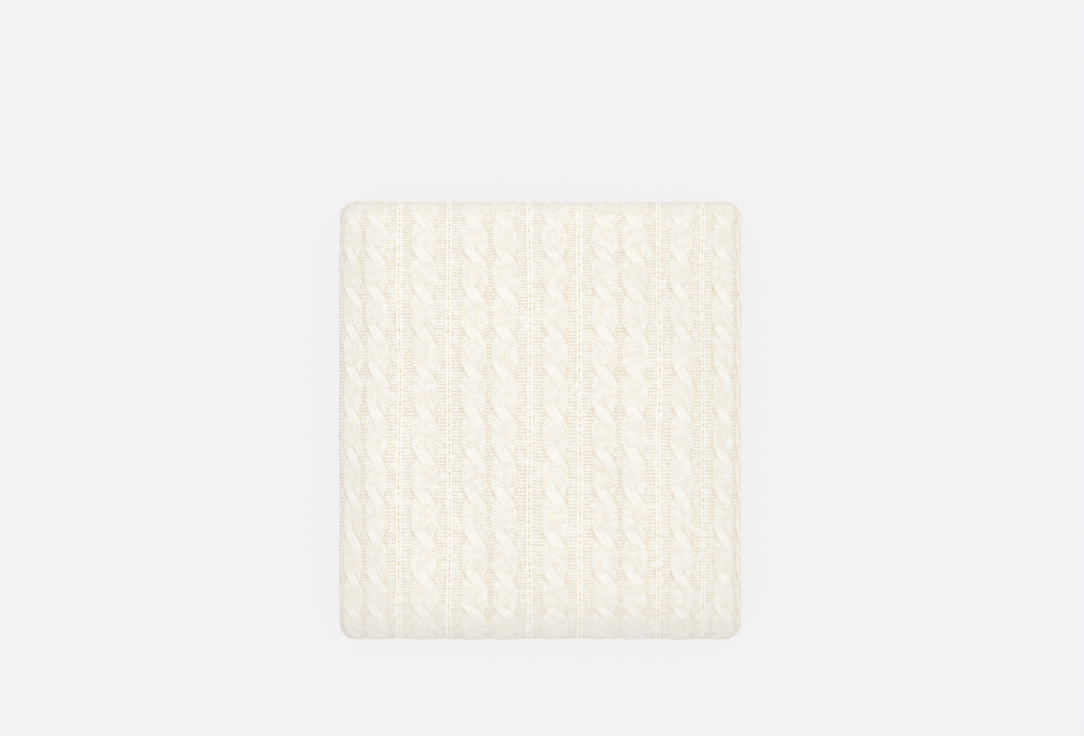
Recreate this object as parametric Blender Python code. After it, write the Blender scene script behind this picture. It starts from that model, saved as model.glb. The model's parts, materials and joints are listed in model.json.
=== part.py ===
"""Folded throw blanket: one cable-knit panel, folded in thirds across its width and in half twice.

Metres, +Z up. The origin is under the middle of the folded throw, on the surface it lies on. X runs
across the fold in thirds and Y along the strip; the edge that shows the last fold faces -Y.
"""

import math

import bmesh
import bpy

# The folded throw
WIDTH = 0.430
LENGTH = 0.4686
PLY = 0.0064  # one layer of the knitted panel
PLY_GAP = 0.0003  # between layers that lie on each other

# The free edges inside and behind the stack
SIDE_SETBACK = 0.006  # the top ply's free edge, from the left side
HEM_WIDTH = 0.020
CAST_ON_SETBACK = 0.015  # the lowest hem, from the back
BIND_OFF_SETBACK = 0.010

# The care label and its thread
LABEL_WIDTH = 0.030
LABEL_DROP = 0.026
LABEL_THICKNESS = 0.0008
LABEL_X = 0.120
LABEL_EDGE_RADIUS = 0.00025
THREAD_RADIUS = 0.00035
TACK_HEIGHT = 0.0016
TACK_STITCHES = 14
CONTACT_GAP = 0.0003

# Facets
EDGE_STEPS = 6  # along a ply's round edge
SIDE_STEPS = 10  # along a side fold
ROLL_STEPS = 20  # along the front and back folds

# Worked out from the sizes above
LEAF = 3 * PLY + 2 * PLY_GAP
THICKNESS = 4 * LEAF + 3 * PLY_GAP
FRONT_AXIS_Y = -LENGTH / 2 + THICKNESS / 2
FRONT_AXIS_Z = THICKNESS / 2
BACK_RADIUS = LEAF + PLY_GAP / 2
BACK_AXIS_Y = LENGTH / 2 - BACK_RADIUS
BACK_AXIS_Z = THICKNESS - BACK_RADIUS
BIND_OFF_END_Y = LENGTH / 2 - BIND_OFF_SETBACK
CAST_ON_END_Y = LENGTH / 2 - CAST_ON_SETBACK

# The height of the panel's face in each leaf, and which way its other plies build from that face
LEAF_1 = (0.0, 1)
LEAF_2 = (2 * LEAF + PLY_GAP, -1)
LEAF_3 = (2 * LEAF + 2 * PLY_GAP, 1)
LEAF_4 = (THICKNESS, -1)


def clear_scene():
    """Removes every object of the scene that Blender opened with."""
    for thing in list(bpy.data.objects):
        bpy.data.objects.remove(thing, do_unlink=True)


def make_collection(name):
    """A new collection under the scene."""
    collection = bpy.data.collections.new(name)
    bpy.context.scene.collection.children.link(collection)
    return collection


def make_material(name, colour, roughness):
    """A plain Principled material."""
    material = bpy.data.materials.new(name)
    material.use_nodes = True
    shader = material.node_tree.nodes["Principled BSDF"]
    shader.inputs["Base Color"].default_value = (*colour, 1.0)
    shader.inputs["Roughness"].default_value = roughness
    shader.inputs["Metallic"].default_value = 0.0
    return material


def make_empty(collection, name, location, parent=None):
    """An empty at a world place, for what moves together."""
    empty = bpy.data.objects.new(name, None)
    empty.empty_display_size = 0.02
    collection.objects.link(empty)
    place(empty, location, parent)
    return empty


def place(thing, location, parent):
    """Puts an object at a world place under its parent, neither of them turned."""
    thing.location = location
    if parent is not None:
        thing.parent = parent
        thing.location = [a - b for a, b in zip(location, world_place(parent))]


def world_place(thing):
    """The world place of an object whose parents are not turned."""
    place_now = list(thing.location)
    while thing.parent is not None:
        thing = thing.parent
        place_now = [a + b for a, b in zip(place_now, thing.location)]
    return place_now


def add_part(collection, name, bm, location, parent, material):
    """One named object from a bmesh, placed under its parent."""
    bmesh.ops.recalc_face_normals(bm, faces=bm.faces)
    mesh = bpy.data.meshes.new(name)
    bm.to_mesh(mesh)
    bm.free()
    mesh.materials.append(material)
    mesh.shade_smooth()
    mesh.set_sharp_from_angle(angle=math.radians(40))
    part = bpy.data.objects.new(name, mesh)
    collection.objects.link(part)
    place(part, location, parent)
    return part


def arc(centre_x, centre_d, radius, start, end, steps):
    """Points along an arc, angles in degrees, both ends included."""
    points = []
    for step in range(steps + 1):
        angle = math.radians(start + (end - start) * step / steps)
        points.append((centre_x + radius * math.cos(angle), centre_d + radius * math.sin(angle)))
    return points


def thirds_outline():
    """The panel folded in thirds, seen from its end: points (x, depth from the panel's face).

    The middle third lies at depth 0, the left third is tucked onto it, and the right third is folded
    over both.
    """
    left_x = -WIDTH / 2 + PLY + PLY_GAP / 2
    left_depth = PLY + PLY_GAP / 2
    right_depth = 1.5 * PLY + PLY_GAP
    right_x = WIDTH / 2 - right_depth
    free_x = -WIDTH / 2 + SIDE_SETBACK + PLY / 2
    tucked_mid = 1.5 * PLY + PLY_GAP
    over_mid = 2.5 * PLY + 2 * PLY_GAP

    outline = arc(left_x, left_depth, PLY + PLY_GAP / 2, 90, 270, SIDE_STEPS)
    outline += arc(right_x, right_depth, right_depth, -90, 90, SIDE_STEPS)
    outline += arc(free_x, over_mid, PLY / 2, 90, 270, EDGE_STEPS)
    outline += arc(right_x, right_depth, right_depth - PLY, 90, -90, SIDE_STEPS)
    outline += arc(left_x, left_depth, PLY_GAP / 2, 270, 90, EDGE_STEPS)
    outline += arc(right_x, tucked_mid, PLY / 2, -90, 90, EDGE_STEPS)
    return outline


def outline_face(bm, points):
    """One flat face in the XZ plane."""
    verts = [bm.verts.new((x, 0.0, z)) for x, z in points]
    return bm.faces.new(verts)


def extruded_band(leaf, length):
    """The folded panel as a straight band along +Y, at the heights of one leaf."""
    face_height, direction = leaf
    bm = bmesh.new()
    face = outline_face(bm, [(x, face_height + direction * depth) for x, depth in thirds_outline()])
    grown = bmesh.ops.extrude_face_region(bm, geom=[face])
    moved = [item for item in grown["geom"] if isinstance(item, bmesh.types.BMVert)]
    bmesh.ops.translate(bm, verts=moved, vec=(0.0, length, 0.0))
    return bm


def rolled_band(face_radius, direction, turn):
    """The folded panel turned through half a circle about the X axis, from below to above.

    face_radius is the radius of the panel's face, direction is 1 where the other plies lie outside
    it and -1 where they lie inside, and turn is -1 for a roll towards -Y and 1 towards +Y.
    """
    bm = bmesh.new()
    outline_face(bm, [(x, -(face_radius + direction * depth)) for x, depth in thirds_outline()])
    bmesh.ops.spin(
        bm,
        geom=bm.verts[:] + bm.edges[:] + bm.faces[:],
        cent=(0.0, 0.0, 0.0),
        axis=(1.0, 0.0, 0.0),
        angle=turn * math.pi,
        steps=ROLL_STEPS,
        use_duplicate=False,
    )
    return bm


def add_lower_leaves(collection, parent, knit):
    """The two leaves that stay down when the throw is opened, each with its end hem."""
    start = FRONT_AXIS_Y + PLY_GAP
    ends = (
        ("leaf_1_bottom", "hem_cast_on", LEAF_1, CAST_ON_END_Y),
        ("leaf_2_lower_inner", "hem_bind_off", LEAF_2, BIND_OFF_END_Y),
    )
    for leaf_name, hem_name, leaf, end in ends:
        hem_start = end - HEM_WIDTH
        leaf_band = extruded_band(leaf, hem_start - PLY_GAP - start)
        add_part(collection, leaf_name, leaf_band, (0.0, start, 0.0), parent, knit)
        hem_band = extruded_band(leaf, HEM_WIDTH)
        add_part(collection, hem_name, hem_band, (0.0, hem_start, 0.0), parent, knit)


def add_upper_leaves(collection, parent, knit):
    """The two leaves that turn over together about the front edge."""
    start = FRONT_AXIS_Y + PLY_GAP
    length = BACK_AXIS_Y - PLY_GAP - start
    for name, leaf in (("leaf_3_upper_inner", LEAF_3), ("leaf_4_top", LEAF_4)):
        add_part(collection, name, extruded_band(leaf, length), (0.0, start, 0.0), parent, knit)


def add_front_folds(collection, parent, knit):
    """The last fold's two rolls, one inside the other, at the front edge."""
    axis_place = (0.0, FRONT_AXIS_Y, FRONT_AXIS_Z)
    outer = rolled_band(THICKNESS / 2, -1, -1)
    add_part(collection, "fold_outer_front", outer, axis_place, parent, knit)
    inner = rolled_band(PLY_GAP / 2, 1, -1)
    add_part(collection, "fold_inner_front", inner, axis_place, parent, knit)


def add_back_fold(collection, parent, knit):
    """The roll that joins the two upper leaves at the back edge."""
    roll = rolled_band(BACK_RADIUS, -1, 1)
    axis_place = (0.0, BACK_AXIS_Y, BACK_AXIS_Z)
    add_part(collection, "fold_back_upper", roll, axis_place, parent, knit)


def label_axis_place():
    """The place of the care label's swing axis, at its top edge, behind the upper hem."""
    ply_middle_z = LEAF_2[0] - PLY / 2
    height = ply_middle_z - TACK_HEIGHT / 2 - THREAD_RADIUS - label_top_clearance()
    return (LABEL_X, BIND_OFF_END_Y + CONTACT_GAP + LABEL_THICKNESS / 2, height)


def label_top_clearance():
    """From the swing axis up to the thread, so that the label's top edge turns clear of it."""
    return LABEL_THICKNESS / 2 + CONTACT_GAP


def add_care_label(collection, parent, satin):
    """The blank woven label, hanging from its swing axis."""
    bm = bmesh.new()
    bmesh.ops.create_cube(bm, size=1.0)
    bmesh.ops.scale(bm, vec=(LABEL_WIDTH, LABEL_THICKNESS, LABEL_DROP), verts=bm.verts)
    bmesh.ops.translate(bm, vec=(0.0, 0.0, -LABEL_DROP / 2), verts=bm.verts)
    bmesh.ops.bevel(
        bm,
        geom=bm.edges[:],
        offset=LABEL_EDGE_RADIUS,
        offset_type="OFFSET",
        segments=2,
        profile=0.5,
        affect="EDGES",
        material=-1,
    )
    add_part(collection, "care_label", bm, label_axis_place(), parent, satin)


def add_label_stitching(collection, parent, thread):
    """The zigzag bar tack on the hem, just above the label."""
    curve = bpy.data.curves.new("care_label_stitching", "CURVE")
    curve.dimensions = "3D"
    curve.bevel_depth = THREAD_RADIUS
    curve.bevel_resolution = 2
    curve.use_fill_caps = True
    corners = 2 * TACK_STITCHES + 1
    spline = curve.splines.new("POLY")
    spline.points.add(corners - 1)
    for index, point in enumerate(spline.points):
        x = LABEL_WIDTH * (index / (corners - 1) - 0.5)
        z = TACK_HEIGHT * ((index % 2) - 0.5)
        point.co = (x, 0.0, z, 1.0)
    curve.materials.append(thread)
    tack = bpy.data.objects.new("care_label_stitching", curve)
    collection.objects.link(tack)
    place_y = BIND_OFF_END_Y + CONTACT_GAP + THREAD_RADIUS
    place(tack, (LABEL_X, place_y, LEAF_2[0] - PLY / 2), parent)


def main():
    """Builds the folded throw."""
    clear_scene()
    collection = make_collection("folded_throw_blanket")
    knit = make_material("cream_knit", (0.86, 0.82, 0.73), 0.9)
    satin = make_material("label_satin", (0.85, 0.84, 0.80), 0.45)
    thread = make_material("label_thread", (0.83, 0.80, 0.72), 0.7)

    lower_half = make_empty(collection, "lower_half", (0.0, 0.0, 0.0))
    fold_axis = (0.0, FRONT_AXIS_Y, FRONT_AXIS_Z)
    upper_half = make_empty(collection, "upper_half", fold_axis, lower_half)
    label_axis = make_empty(collection, "care_label_axis", label_axis_place(), lower_half)

    add_lower_leaves(collection, lower_half, knit)
    add_upper_leaves(collection, upper_half, knit)
    add_front_folds(collection, lower_half, knit)
    add_back_fold(collection, upper_half, knit)
    add_care_label(collection, label_axis, satin)
    add_label_stitching(collection, lower_half, thread)


if __name__ == "__main__":
    main()
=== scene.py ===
"""The looks of the folded cable-knit throw: knitted surfaces, hems, care label, floor, light and camera."""

import json
import logging
import math
from dataclasses import dataclass
from enum import Enum

import bmesh
import bpy
import numpy as np
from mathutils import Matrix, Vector


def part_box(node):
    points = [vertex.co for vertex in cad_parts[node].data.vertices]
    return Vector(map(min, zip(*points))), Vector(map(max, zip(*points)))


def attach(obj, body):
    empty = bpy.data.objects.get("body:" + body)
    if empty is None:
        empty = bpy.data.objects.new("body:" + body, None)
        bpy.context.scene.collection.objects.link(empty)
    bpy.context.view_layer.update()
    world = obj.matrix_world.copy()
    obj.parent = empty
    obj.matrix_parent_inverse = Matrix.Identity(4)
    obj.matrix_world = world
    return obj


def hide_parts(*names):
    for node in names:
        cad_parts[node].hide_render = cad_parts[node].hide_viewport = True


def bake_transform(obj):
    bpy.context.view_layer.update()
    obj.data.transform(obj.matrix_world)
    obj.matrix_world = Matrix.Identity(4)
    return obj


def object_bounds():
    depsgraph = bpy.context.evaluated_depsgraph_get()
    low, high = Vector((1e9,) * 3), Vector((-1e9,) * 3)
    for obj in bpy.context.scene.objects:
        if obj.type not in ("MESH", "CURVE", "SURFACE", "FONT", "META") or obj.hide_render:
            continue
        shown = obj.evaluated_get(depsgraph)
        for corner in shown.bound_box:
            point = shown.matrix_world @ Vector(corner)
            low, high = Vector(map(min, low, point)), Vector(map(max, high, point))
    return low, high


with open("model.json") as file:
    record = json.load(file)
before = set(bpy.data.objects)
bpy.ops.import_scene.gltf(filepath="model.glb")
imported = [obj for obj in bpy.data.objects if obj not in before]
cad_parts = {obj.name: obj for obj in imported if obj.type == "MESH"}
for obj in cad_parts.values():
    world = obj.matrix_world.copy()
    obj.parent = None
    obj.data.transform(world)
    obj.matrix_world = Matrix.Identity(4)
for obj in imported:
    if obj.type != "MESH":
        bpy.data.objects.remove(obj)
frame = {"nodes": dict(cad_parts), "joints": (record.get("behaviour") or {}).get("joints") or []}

logging.basicConfig(level=logging.INFO, format="%(levelname)s %(message)s")
log = logging.getLogger("folded_throw")

CAD_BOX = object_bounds()

Grid = np.ndarray


# ---------------------------------------------------------------------------
# Named options and sizes
# ---------------------------------------------------------------------------


class Hold(Enum):
    FOLDED = "folded"


class Body(Enum):
    """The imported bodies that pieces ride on."""

    LOWER = "lower_half"
    UPPER = "upper_half"
    LABEL = "care_label_body"


class Motif(Enum):
    """What a band of wales is knitted as."""

    RIB = "rib"
    PURL = "purl"
    CABLE = "cable"
    GROOVE = "groove"


class Roll(Enum):
    """Which edge a roll of the folded strip is at, and so which way it turns."""

    FRONT = -1
    BACK = 1


@dataclass(frozen=True)
class Gauge:
    """The knitting's gauge and the heights of its relief, in metres.

    Heights are measured from the panel's face, so those inside it are negative.
    """

    wale: float = 0.00465
    course: float = 0.00368
    purl_wales: int = 2
    cable_wales: int = 6
    rib_width: float = 0.0070
    cable_repeat: int = 12
    crossing_at: float = 0.741
    crossing_half: float = 0.36
    crossing_waist: float = 0.30
    crossing_bell: float = 0.16
    crossing_swell: float = 0.26
    ground: float = -0.0022
    purl_wave: float = 0.0002
    rib_base: float = -0.0030
    rib_leg_radius: float = 0.00165
    rib_leg_offset: float = 0.0017
    rib_leg_sway: float = 0.0003
    rib_leg_dip: float = 0.0002
    groove_depth: float = 0.0002
    groove_pull: float = 0.0012
    groove_bell: float = 0.10
    groove_width: float = 0.0016
    cable_dome: float = 0.0021
    dome_squareness: float = 6.0
    dome_roundness: float = 0.55
    cable_dip: float = 0.0003
    cable_dip_width: float = 0.002
    over_lift: float = 0.0006
    crossing_sink: float = 0.0004
    under_drop: float = 0.0008
    over_crease: float = 0.0009
    over_crease_at: float = 1.02
    over_crease_width: float = 0.13
    over_edge: float = 0.18


@dataclass(frozen=True)
class Gather:
    """How the fabric is gathered towards one edge: extra cloth per metre there, and its reach."""

    extra: float
    reach: float

    def taken_up(self, distance: Grid) -> Grid:
        """Extra cloth between the edge and a point.

        Args:
            distance: arc length from the edge, in metres, negative past it.

        Returns:
            The extra length of cloth, with the sign of the distance.
        """
        x = np.abs(distance) / self.reach
        total = self.extra * self.reach * math.sqrt(math.pi) / 2
        near_erf = np.tanh(1.1283792 * x + 0.1009 * x**3)
        return np.sign(distance) * total * near_erf


@dataclass(frozen=True)
class Softness:
    """How far the soft stack departs from the flat-sided CAD solid, in metres."""

    droop_left: float = 0.016
    droop_right: float = 0.013
    droop_back: float = 0.014
    droop_front: float = 0.006
    droop_reach: float = 0.070
    corner_front_left: float = 0.021
    corner_front_right: float = 0.015
    corner_back_left: float = 0.023
    corner_back_right: float = 0.016
    corner_round: float = 0.30
    side_inset: float = 0.0008
    swell_left: float = 0.0018
    swell_right: float = 0.0014
    swell_back: float = 0.0016
    swell_front: float = 0.0030
    swell_reach: float = 0.060
    wander: float = 0.0011
    wander_fade: float = 0.030
    wander_waves: tuple[float, float] = (0.16, 0.14)
    side_wave: float = 0.17
    billow: float = 0.0010
    billow_wave: float = 0.13
    billow_fade: float = 0.05
    relief_left: float = 0.45
    tight_half: float = 0.008
    tight_fade: float = 0.045
    # Painted crease shade: how far below the crests around it a point starts to be tinted, and over how
    # much more depth the tint grows full.
    hollow_from: float = 0.0009
    hollow_depth: float = 0.0022


GAUGE = Gauge()
SOFTNESS = Softness()
LEFT_GATHER = Gather(0.50, 0.040)
RIGHT_GATHER = Gather(0.26, 0.080)
FRONT_GATHER = Gather(0.72, 0.060)
BACK_GATHER = Gather(0.24, 0.108)
HEM_CLOSING = 0.0025


# ---------------------------------------------------------------------------
# Curves that many shapes share
# ---------------------------------------------------------------------------


def smooth_step(t: Grid) -> Grid:
    """A smooth rise from 0 to 1, for t from 0 to 1."""
    return t * t * (3 - 2 * t)


def bell(x: Grid, width: float) -> Grid:
    """A bell curve, 1 where x is 0."""
    return np.exp(-((x / width) ** 2))


def ripple(turns: Grid) -> Grid:
    """A wave between 0 and 1, at 0 where turns is a whole number."""
    return 0.5 - 0.5 * np.cos(2 * math.pi * turns)


# ---------------------------------------------------------------------------
# The knitting pattern
# ---------------------------------------------------------------------------


@dataclass(frozen=True)
class Band:
    """One band of wales: what it is knitted as, and where it starts and ends across the cloth."""

    motif: Motif
    start: float
    end: float

    @property
    def middle(self) -> float:
        """Where the band's centre line lies across the cloth, in metres."""
        return (self.start + self.end) / 2


@dataclass(frozen=True)
class Swatch:
    """One band's share of a grid of knitting.

    Attributes:
        relief: the knitting to fill in.
        part: the band's columns of points.
        across: their places across the cloth, as a column.
        course: the courses of the rows, as a row.
        band: the band.
    """

    relief: "Relief"
    part: slice
    across: Grid
    course: Grid
    band: Band

    @property
    def from_middle(self) -> Grid:
        """Distances from the band's centre line, in metres."""
        return self.across - self.band.middle


class KnitPattern:
    """The throw's pattern: pairs of cables and single cables between slipped ribs."""

    REPEAT = (
        Motif.RIB,
        Motif.PURL,
        Motif.CABLE,
        Motif.GROOVE,
        Motif.CABLE,
        Motif.PURL,
        Motif.RIB,
        Motif.PURL,
        Motif.CABLE,
        Motif.PURL,
    )

    def __init__(self, gauge: Gauge, first: float, last: float) -> None:
        """Lays the bands out across the cloth, with a rib's middle at 0.

        Args:
            gauge: the gauge of the knitting.
            first: where the cloth starts, in metres of flat cloth.
            last: where it ends.
        """
        self.gauge = gauge
        self.bands = self._lay_out(first, last)

    def width_of(self, motif: Motif) -> float:
        """The flat width of one band.

        Args:
            motif: what it is knitted as.

        Returns:
            The width, in metres.
        """
        widths = {
            Motif.RIB: self.gauge.rib_width,
            Motif.PURL: self.gauge.purl_wales * self.gauge.wale,
            Motif.CABLE: self.gauge.cable_wales * self.gauge.wale,
            Motif.GROOVE: self.gauge.wale,
        }
        return widths[motif]

    def _lay_out(self, first: float, last: float) -> list[Band]:
        """Repeats the pattern from one side of the cloth to the other.

        Args:
            first: where the cloth starts.
            last: where it ends.

        Returns:
            The bands, in order.
        """
        repeat = sum(self.width_of(motif) for motif in self.REPEAT)
        start = -self.gauge.rib_width / 2
        start -= repeat * math.ceil((start - first) / repeat)
        bands = []
        while start < last:
            for motif in self.REPEAT:
                end = start + self.width_of(motif)
                bands.append(Band(motif, start, end))
                start = end
        return [band for band in bands if band.end > first and band.start < last]

    def columns(self, first: float, last: float, cells_per_wale: int) -> Grid:
        """Places across the cloth for a grid whose lines follow the wales.

        Args:
            first: the first place, in metres of flat cloth.
            last: the last place.
            cells_per_wale: grid cells across one wale.

        Returns:
            The places in order, with first and last among them.
        """
        places = [np.array([first, last])]
        for band in self.bands:
            wales = (band.end - band.start) / self.gauge.wale
            cells = max(1, round(wales * cells_per_wale))
            places.append(np.linspace(band.start, band.end, cells + 1)[:-1])
        merged = np.unique(np.concatenate(places))
        inside = merged[(merged >= first) & (merged <= last)]
        return drop_slivers(inside, self.gauge.wale / cells_per_wale / 3)

    def rows(self, first: float, last: float, cells_per_course: int) -> Grid:
        """Places along the cloth for a grid whose lines follow the courses.

        Args:
            first: the first place, in metres of flat cloth.
            last: the last place.
            cells_per_course: grid cells along one course.

        Returns:
            The places in order, with first and last among them.
        """
        step = self.gauge.course / cells_per_course
        whole = np.arange(math.ceil(first / step), math.floor(last / step) + 1) * step
        merged = np.unique(np.concatenate([[first, last], whole]))
        return drop_slivers(merged, step / 3)

    def knit(self, across: Grid, along: Grid) -> "Relief":
        """The knitting over a grid of cloth.

        Args:
            across: places across the cloth, in metres, with every band's edges among them.
            along: places along it.

        Returns:
            Its heights and its stitches.
        """
        course = (along / self.gauge.course)[None, :]
        relief = Relief.flat(len(across), len(along))
        makers = {
            Motif.RIB: self._rib,
            Motif.PURL: self._purl,
            Motif.GROOVE: self._groove,
            Motif.CABLE: self._cable,
        }
        for band in self.bands:
            inside = (across > band.start - 1e-9) & (across < band.end + 1e-9)
            chosen = np.nonzero(inside)[0]
            if len(chosen) < 2:
                continue
            part = slice(chosen[0], chosen[-1] + 1)
            makers[band.motif](Swatch(relief, part, across[part][:, None], course, band))
        relief.soften_motifs(2)
        return relief

    def _purl(self, swatch: Swatch) -> None:
        """Purl stitches, low between the ribs and the cables.

        Args:
            swatch: the band's share of the grid.
        """
        relief, part, band = swatch.relief, swatch.part, swatch.band
        wale = (swatch.across - band.start) / self.gauge.wale
        relief.height[part] = self.gauge.ground + self.gauge.purl_wave * np.cos(2 * math.pi * wale)
        relief.motif[part] = MOTIF_CODES[band.motif]
        relief.set_stitches(part, wale, swatch.course)

    def _groove(self, swatch: Swatch) -> None:
        """The single purl wale between two cables, pulled deep where they cross.

        Args:
            swatch: the band's share of the grid.
        """
        gauge = self.gauge
        self._purl(swatch)
        phase = swatch.course / gauge.cable_repeat - gauge.crossing_at
        crossing = bell(phase - np.round(phase), gauge.groove_bell)
        middle = bell(swatch.from_middle, gauge.groove_width)
        pull = gauge.groove_depth + gauge.groove_pull * crossing
        swatch.relief.height[swatch.part] -= pull * middle

    def _rib(self, swatch: Swatch) -> None:
        """A slipped rib: two smooth legs that pinch together every second course.

        Args:
            swatch: the band's share of the grid.
        """
        gauge = self.gauge
        relief, part, x = swatch.relief, swatch.part, swatch.from_middle
        pinch = np.cos(math.pi * swatch.course)
        leg = gauge.rib_leg_offset + gauge.rib_leg_sway * pinch
        gap = np.abs(np.abs(x) - leg)
        tube = np.sqrt(np.maximum(gauge.rib_leg_radius**2 - gap**2, 0.0))
        relief.height[part] = np.maximum(gauge.rib_base + tube - gauge.rib_leg_dip * pinch, gauge.ground)
        relief.motif[part] = MOTIF_CODES[swatch.band.motif]
        relief.set_stitches(part, x / gauge.wale, swatch.course)

    def _cable(self, swatch: Swatch) -> None:
        """Two strands of three wales that cross, always the same way, once in each repeat.

        Args:
            swatch: the band's share of the grid.
        """
        gauge = self.gauge
        relief, part, x = swatch.relief, swatch.part, swatch.from_middle
        phase = swatch.course / gauge.cable_repeat - gauge.crossing_at
        turn = phase - np.round(phase)
        crossing = bell(turn, gauge.crossing_bell)
        waist = gauge.cable_wales * gauge.wale / 2 * (1 - gauge.crossing_waist * crossing)
        dome = np.maximum(1 - np.abs(x / waist) ** gauge.dome_squareness, 0.0) ** gauge.dome_roundness
        dip = gauge.cable_dip * bell(x, gauge.cable_dip_width) * (1 - crossing)
        over = self._strand(x, swatch.course, turn, 1)[0]
        on_top = smooth_step(np.clip((1.0 - over) / gauge.over_edge, 0.0, 1.0))
        round_top = np.sqrt(np.maximum(1 - np.minimum(over, 1.0) ** 2, 0.0))
        lift = gauge.over_lift * round_top * on_top - gauge.under_drop * (1 - on_top) * dome**0.5
        lift -= gauge.over_crease * bell(over - gauge.over_crease_at, gauge.over_crease_width) * dome
        lift = (lift - gauge.crossing_sink) * bell(turn, gauge.crossing_swell)
        relief.height[part] = gauge.ground + gauge.cable_dome * dome - dip + lift
        knitted = MOTIF_CODES[Motif.CABLE] - crossing
        relief.motif[part] = np.where(np.abs(x) > waist * 0.97, MOTIF_CODES[Motif.PURL], knitted)
        self._cable_stitches(swatch)

    def _cable_stitches(self, swatch: Swatch) -> None:
        """The stitch coordinates of a cable: each cell takes those of the strand that lies on top there.

        Args:
            swatch: the cable's share of the grid.
        """
        gauge = self.gauge
        relief, part, course, x = swatch.relief, swatch.part, swatch.course, swatch.from_middle
        columns, rows = len(x), course.shape[1]
        middle = (course[:, :-1] + course[:, 1:]) / 2
        repeat = np.round(middle / gauge.cable_repeat - gauge.crossing_at)
        corners = {}
        total = np.zeros((columns - 1, rows - 1))
        for j in (0, 1):
            row = course[:, j : rows - 1 + j]
            turn = row / gauge.cable_repeat - gauge.crossing_at - repeat
            strands = [self._strand(x, row, turn, side) for side in (1, -1)]
            for i in (0, 1):
                place = slice(i, columns - 1 + i)
                corners[i, j] = [[value[place] for value in strand] for strand in strands]
                total += np.minimum(corners[i, j][0][0], 2.0)
        on_top = total / 4 < 1.0
        beside = relief.motif[part][:-1, :-1] > 0.5
        relief.set_stitches(part, x / gauge.wale, course)
        cells = relief.stitches[part.start : part.stop - 1]
        for (i, j), (over, under) in corners.items():
            for k in (0, 1):
                knitted = np.where(on_top, over[k + 1], under[k + 1])
                cells[:, :, i, j, k] = np.where(beside, cells[:, :, i, j, k], knitted)

    def _strand(self, x: Grid, course: Grid, turn: Grid, side: int) -> tuple[Grid, Grid, Grid]:
        """One strand of a cable, which leans over to the other side at the crossing.

        Args:
            x: places across, from the cable's middle, in metres.
            course: places along, in courses.
            turn: the same, in repeats, 0 at the crossing.
            side: 1 for the strand that passes over, from right to left, -1 for the other.

        Returns:
            How far each point is from the strand's middle, 1 at its edge; the strand's own wale
            there; and its own course.
        """
        gauge = self.gauge
        half = gauge.crossing_half
        t = np.clip((turn + half) / (2 * half), 0.0, 1.0)
        middle = side * gauge.cable_wales * gauge.wale / 4
        slope = -middle * 12 * t * (1 - t) / (2 * half * gauge.cable_repeat * gauge.course)
        lean = np.sqrt(1 + slope * slope)
        offset = x - middle * (1 - 2 * smooth_step(t))
        along = offset / lean
        wales = gauge.cable_wales / 2
        edge = np.abs(along) / (wales / 2 * gauge.wale)
        local_course = course + offset * slope / (lean * lean) / gauge.course
        return edge, along / gauge.wale + wales / 2, local_course


@dataclass
class Relief:
    """Knitting over a grid: heights and motifs at its points, and stitch coordinates at its cells' corners.

    Attributes:
        height: metres from the panel's face.
        motif: which stitch is knitted there, by MOTIF_CODES.
        stitches: wale and course for each cell and each of its four corners.
    """

    height: Grid
    motif: Grid
    stitches: Grid

    @classmethod
    def flat(cls, columns: int, rows: int) -> "Relief":
        """Flat knitting, ready to be filled in, with so many columns and rows of points."""
        points = (columns, rows)
        return cls(np.zeros(points), np.ones(points), np.zeros((columns - 1, rows - 1, 2, 2, 2)))

    def set_stitches(self, part: slice, wale: Grid, course: Grid) -> None:
        """Sets the stitch coordinates of the cells of some columns.

        Args:
            part: the columns of points.
            wale: the wale at those points.
            course: the course at those points.
        """
        shape = (part.stop - part.start, self.height.shape[1])
        both = np.stack([np.broadcast_to(wale, shape), np.broadcast_to(course, shape)], axis=2)
        cells = self.stitches[part.start : part.stop - 1]
        for i in (0, 1):
            for j in (0, 1):
                cells[:, :, i, j] = both[i : shape[0] - 1 + i, j : shape[1] - 1 + j]

    def soften_motifs(self, times: int) -> None:
        """Blends the motifs where two bands meet, by averaging neighbours across so many times."""
        for _ in range(times):
            self.motif[1:-1] = (self.motif[:-2] + 2 * self.motif[1:-1] + self.motif[2:]) / 4


MOTIF_CODES = {Motif.CABLE: 0.0, Motif.PURL: 1.0, Motif.GROOVE: 1.0, Motif.RIB: 2.0}


def drop_slivers(places: Grid, least: float) -> Grid:
    """Removes places that lie too close to the one before, but never the first or the last.

    Args:
        places: places in order.
        least: the least distance to keep between two of them.

    Returns:
        The places that stay.
    """
    kept = [places[0]]
    for place in places[1:-1]:
        if place - kept[-1] >= least and places[-1] - place >= least:
            kept.append(place)
    kept.append(places[-1])
    return np.array(kept)


# ---------------------------------------------------------------------------
# The fold: from flat cloth to the folded strip
# ---------------------------------------------------------------------------


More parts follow.
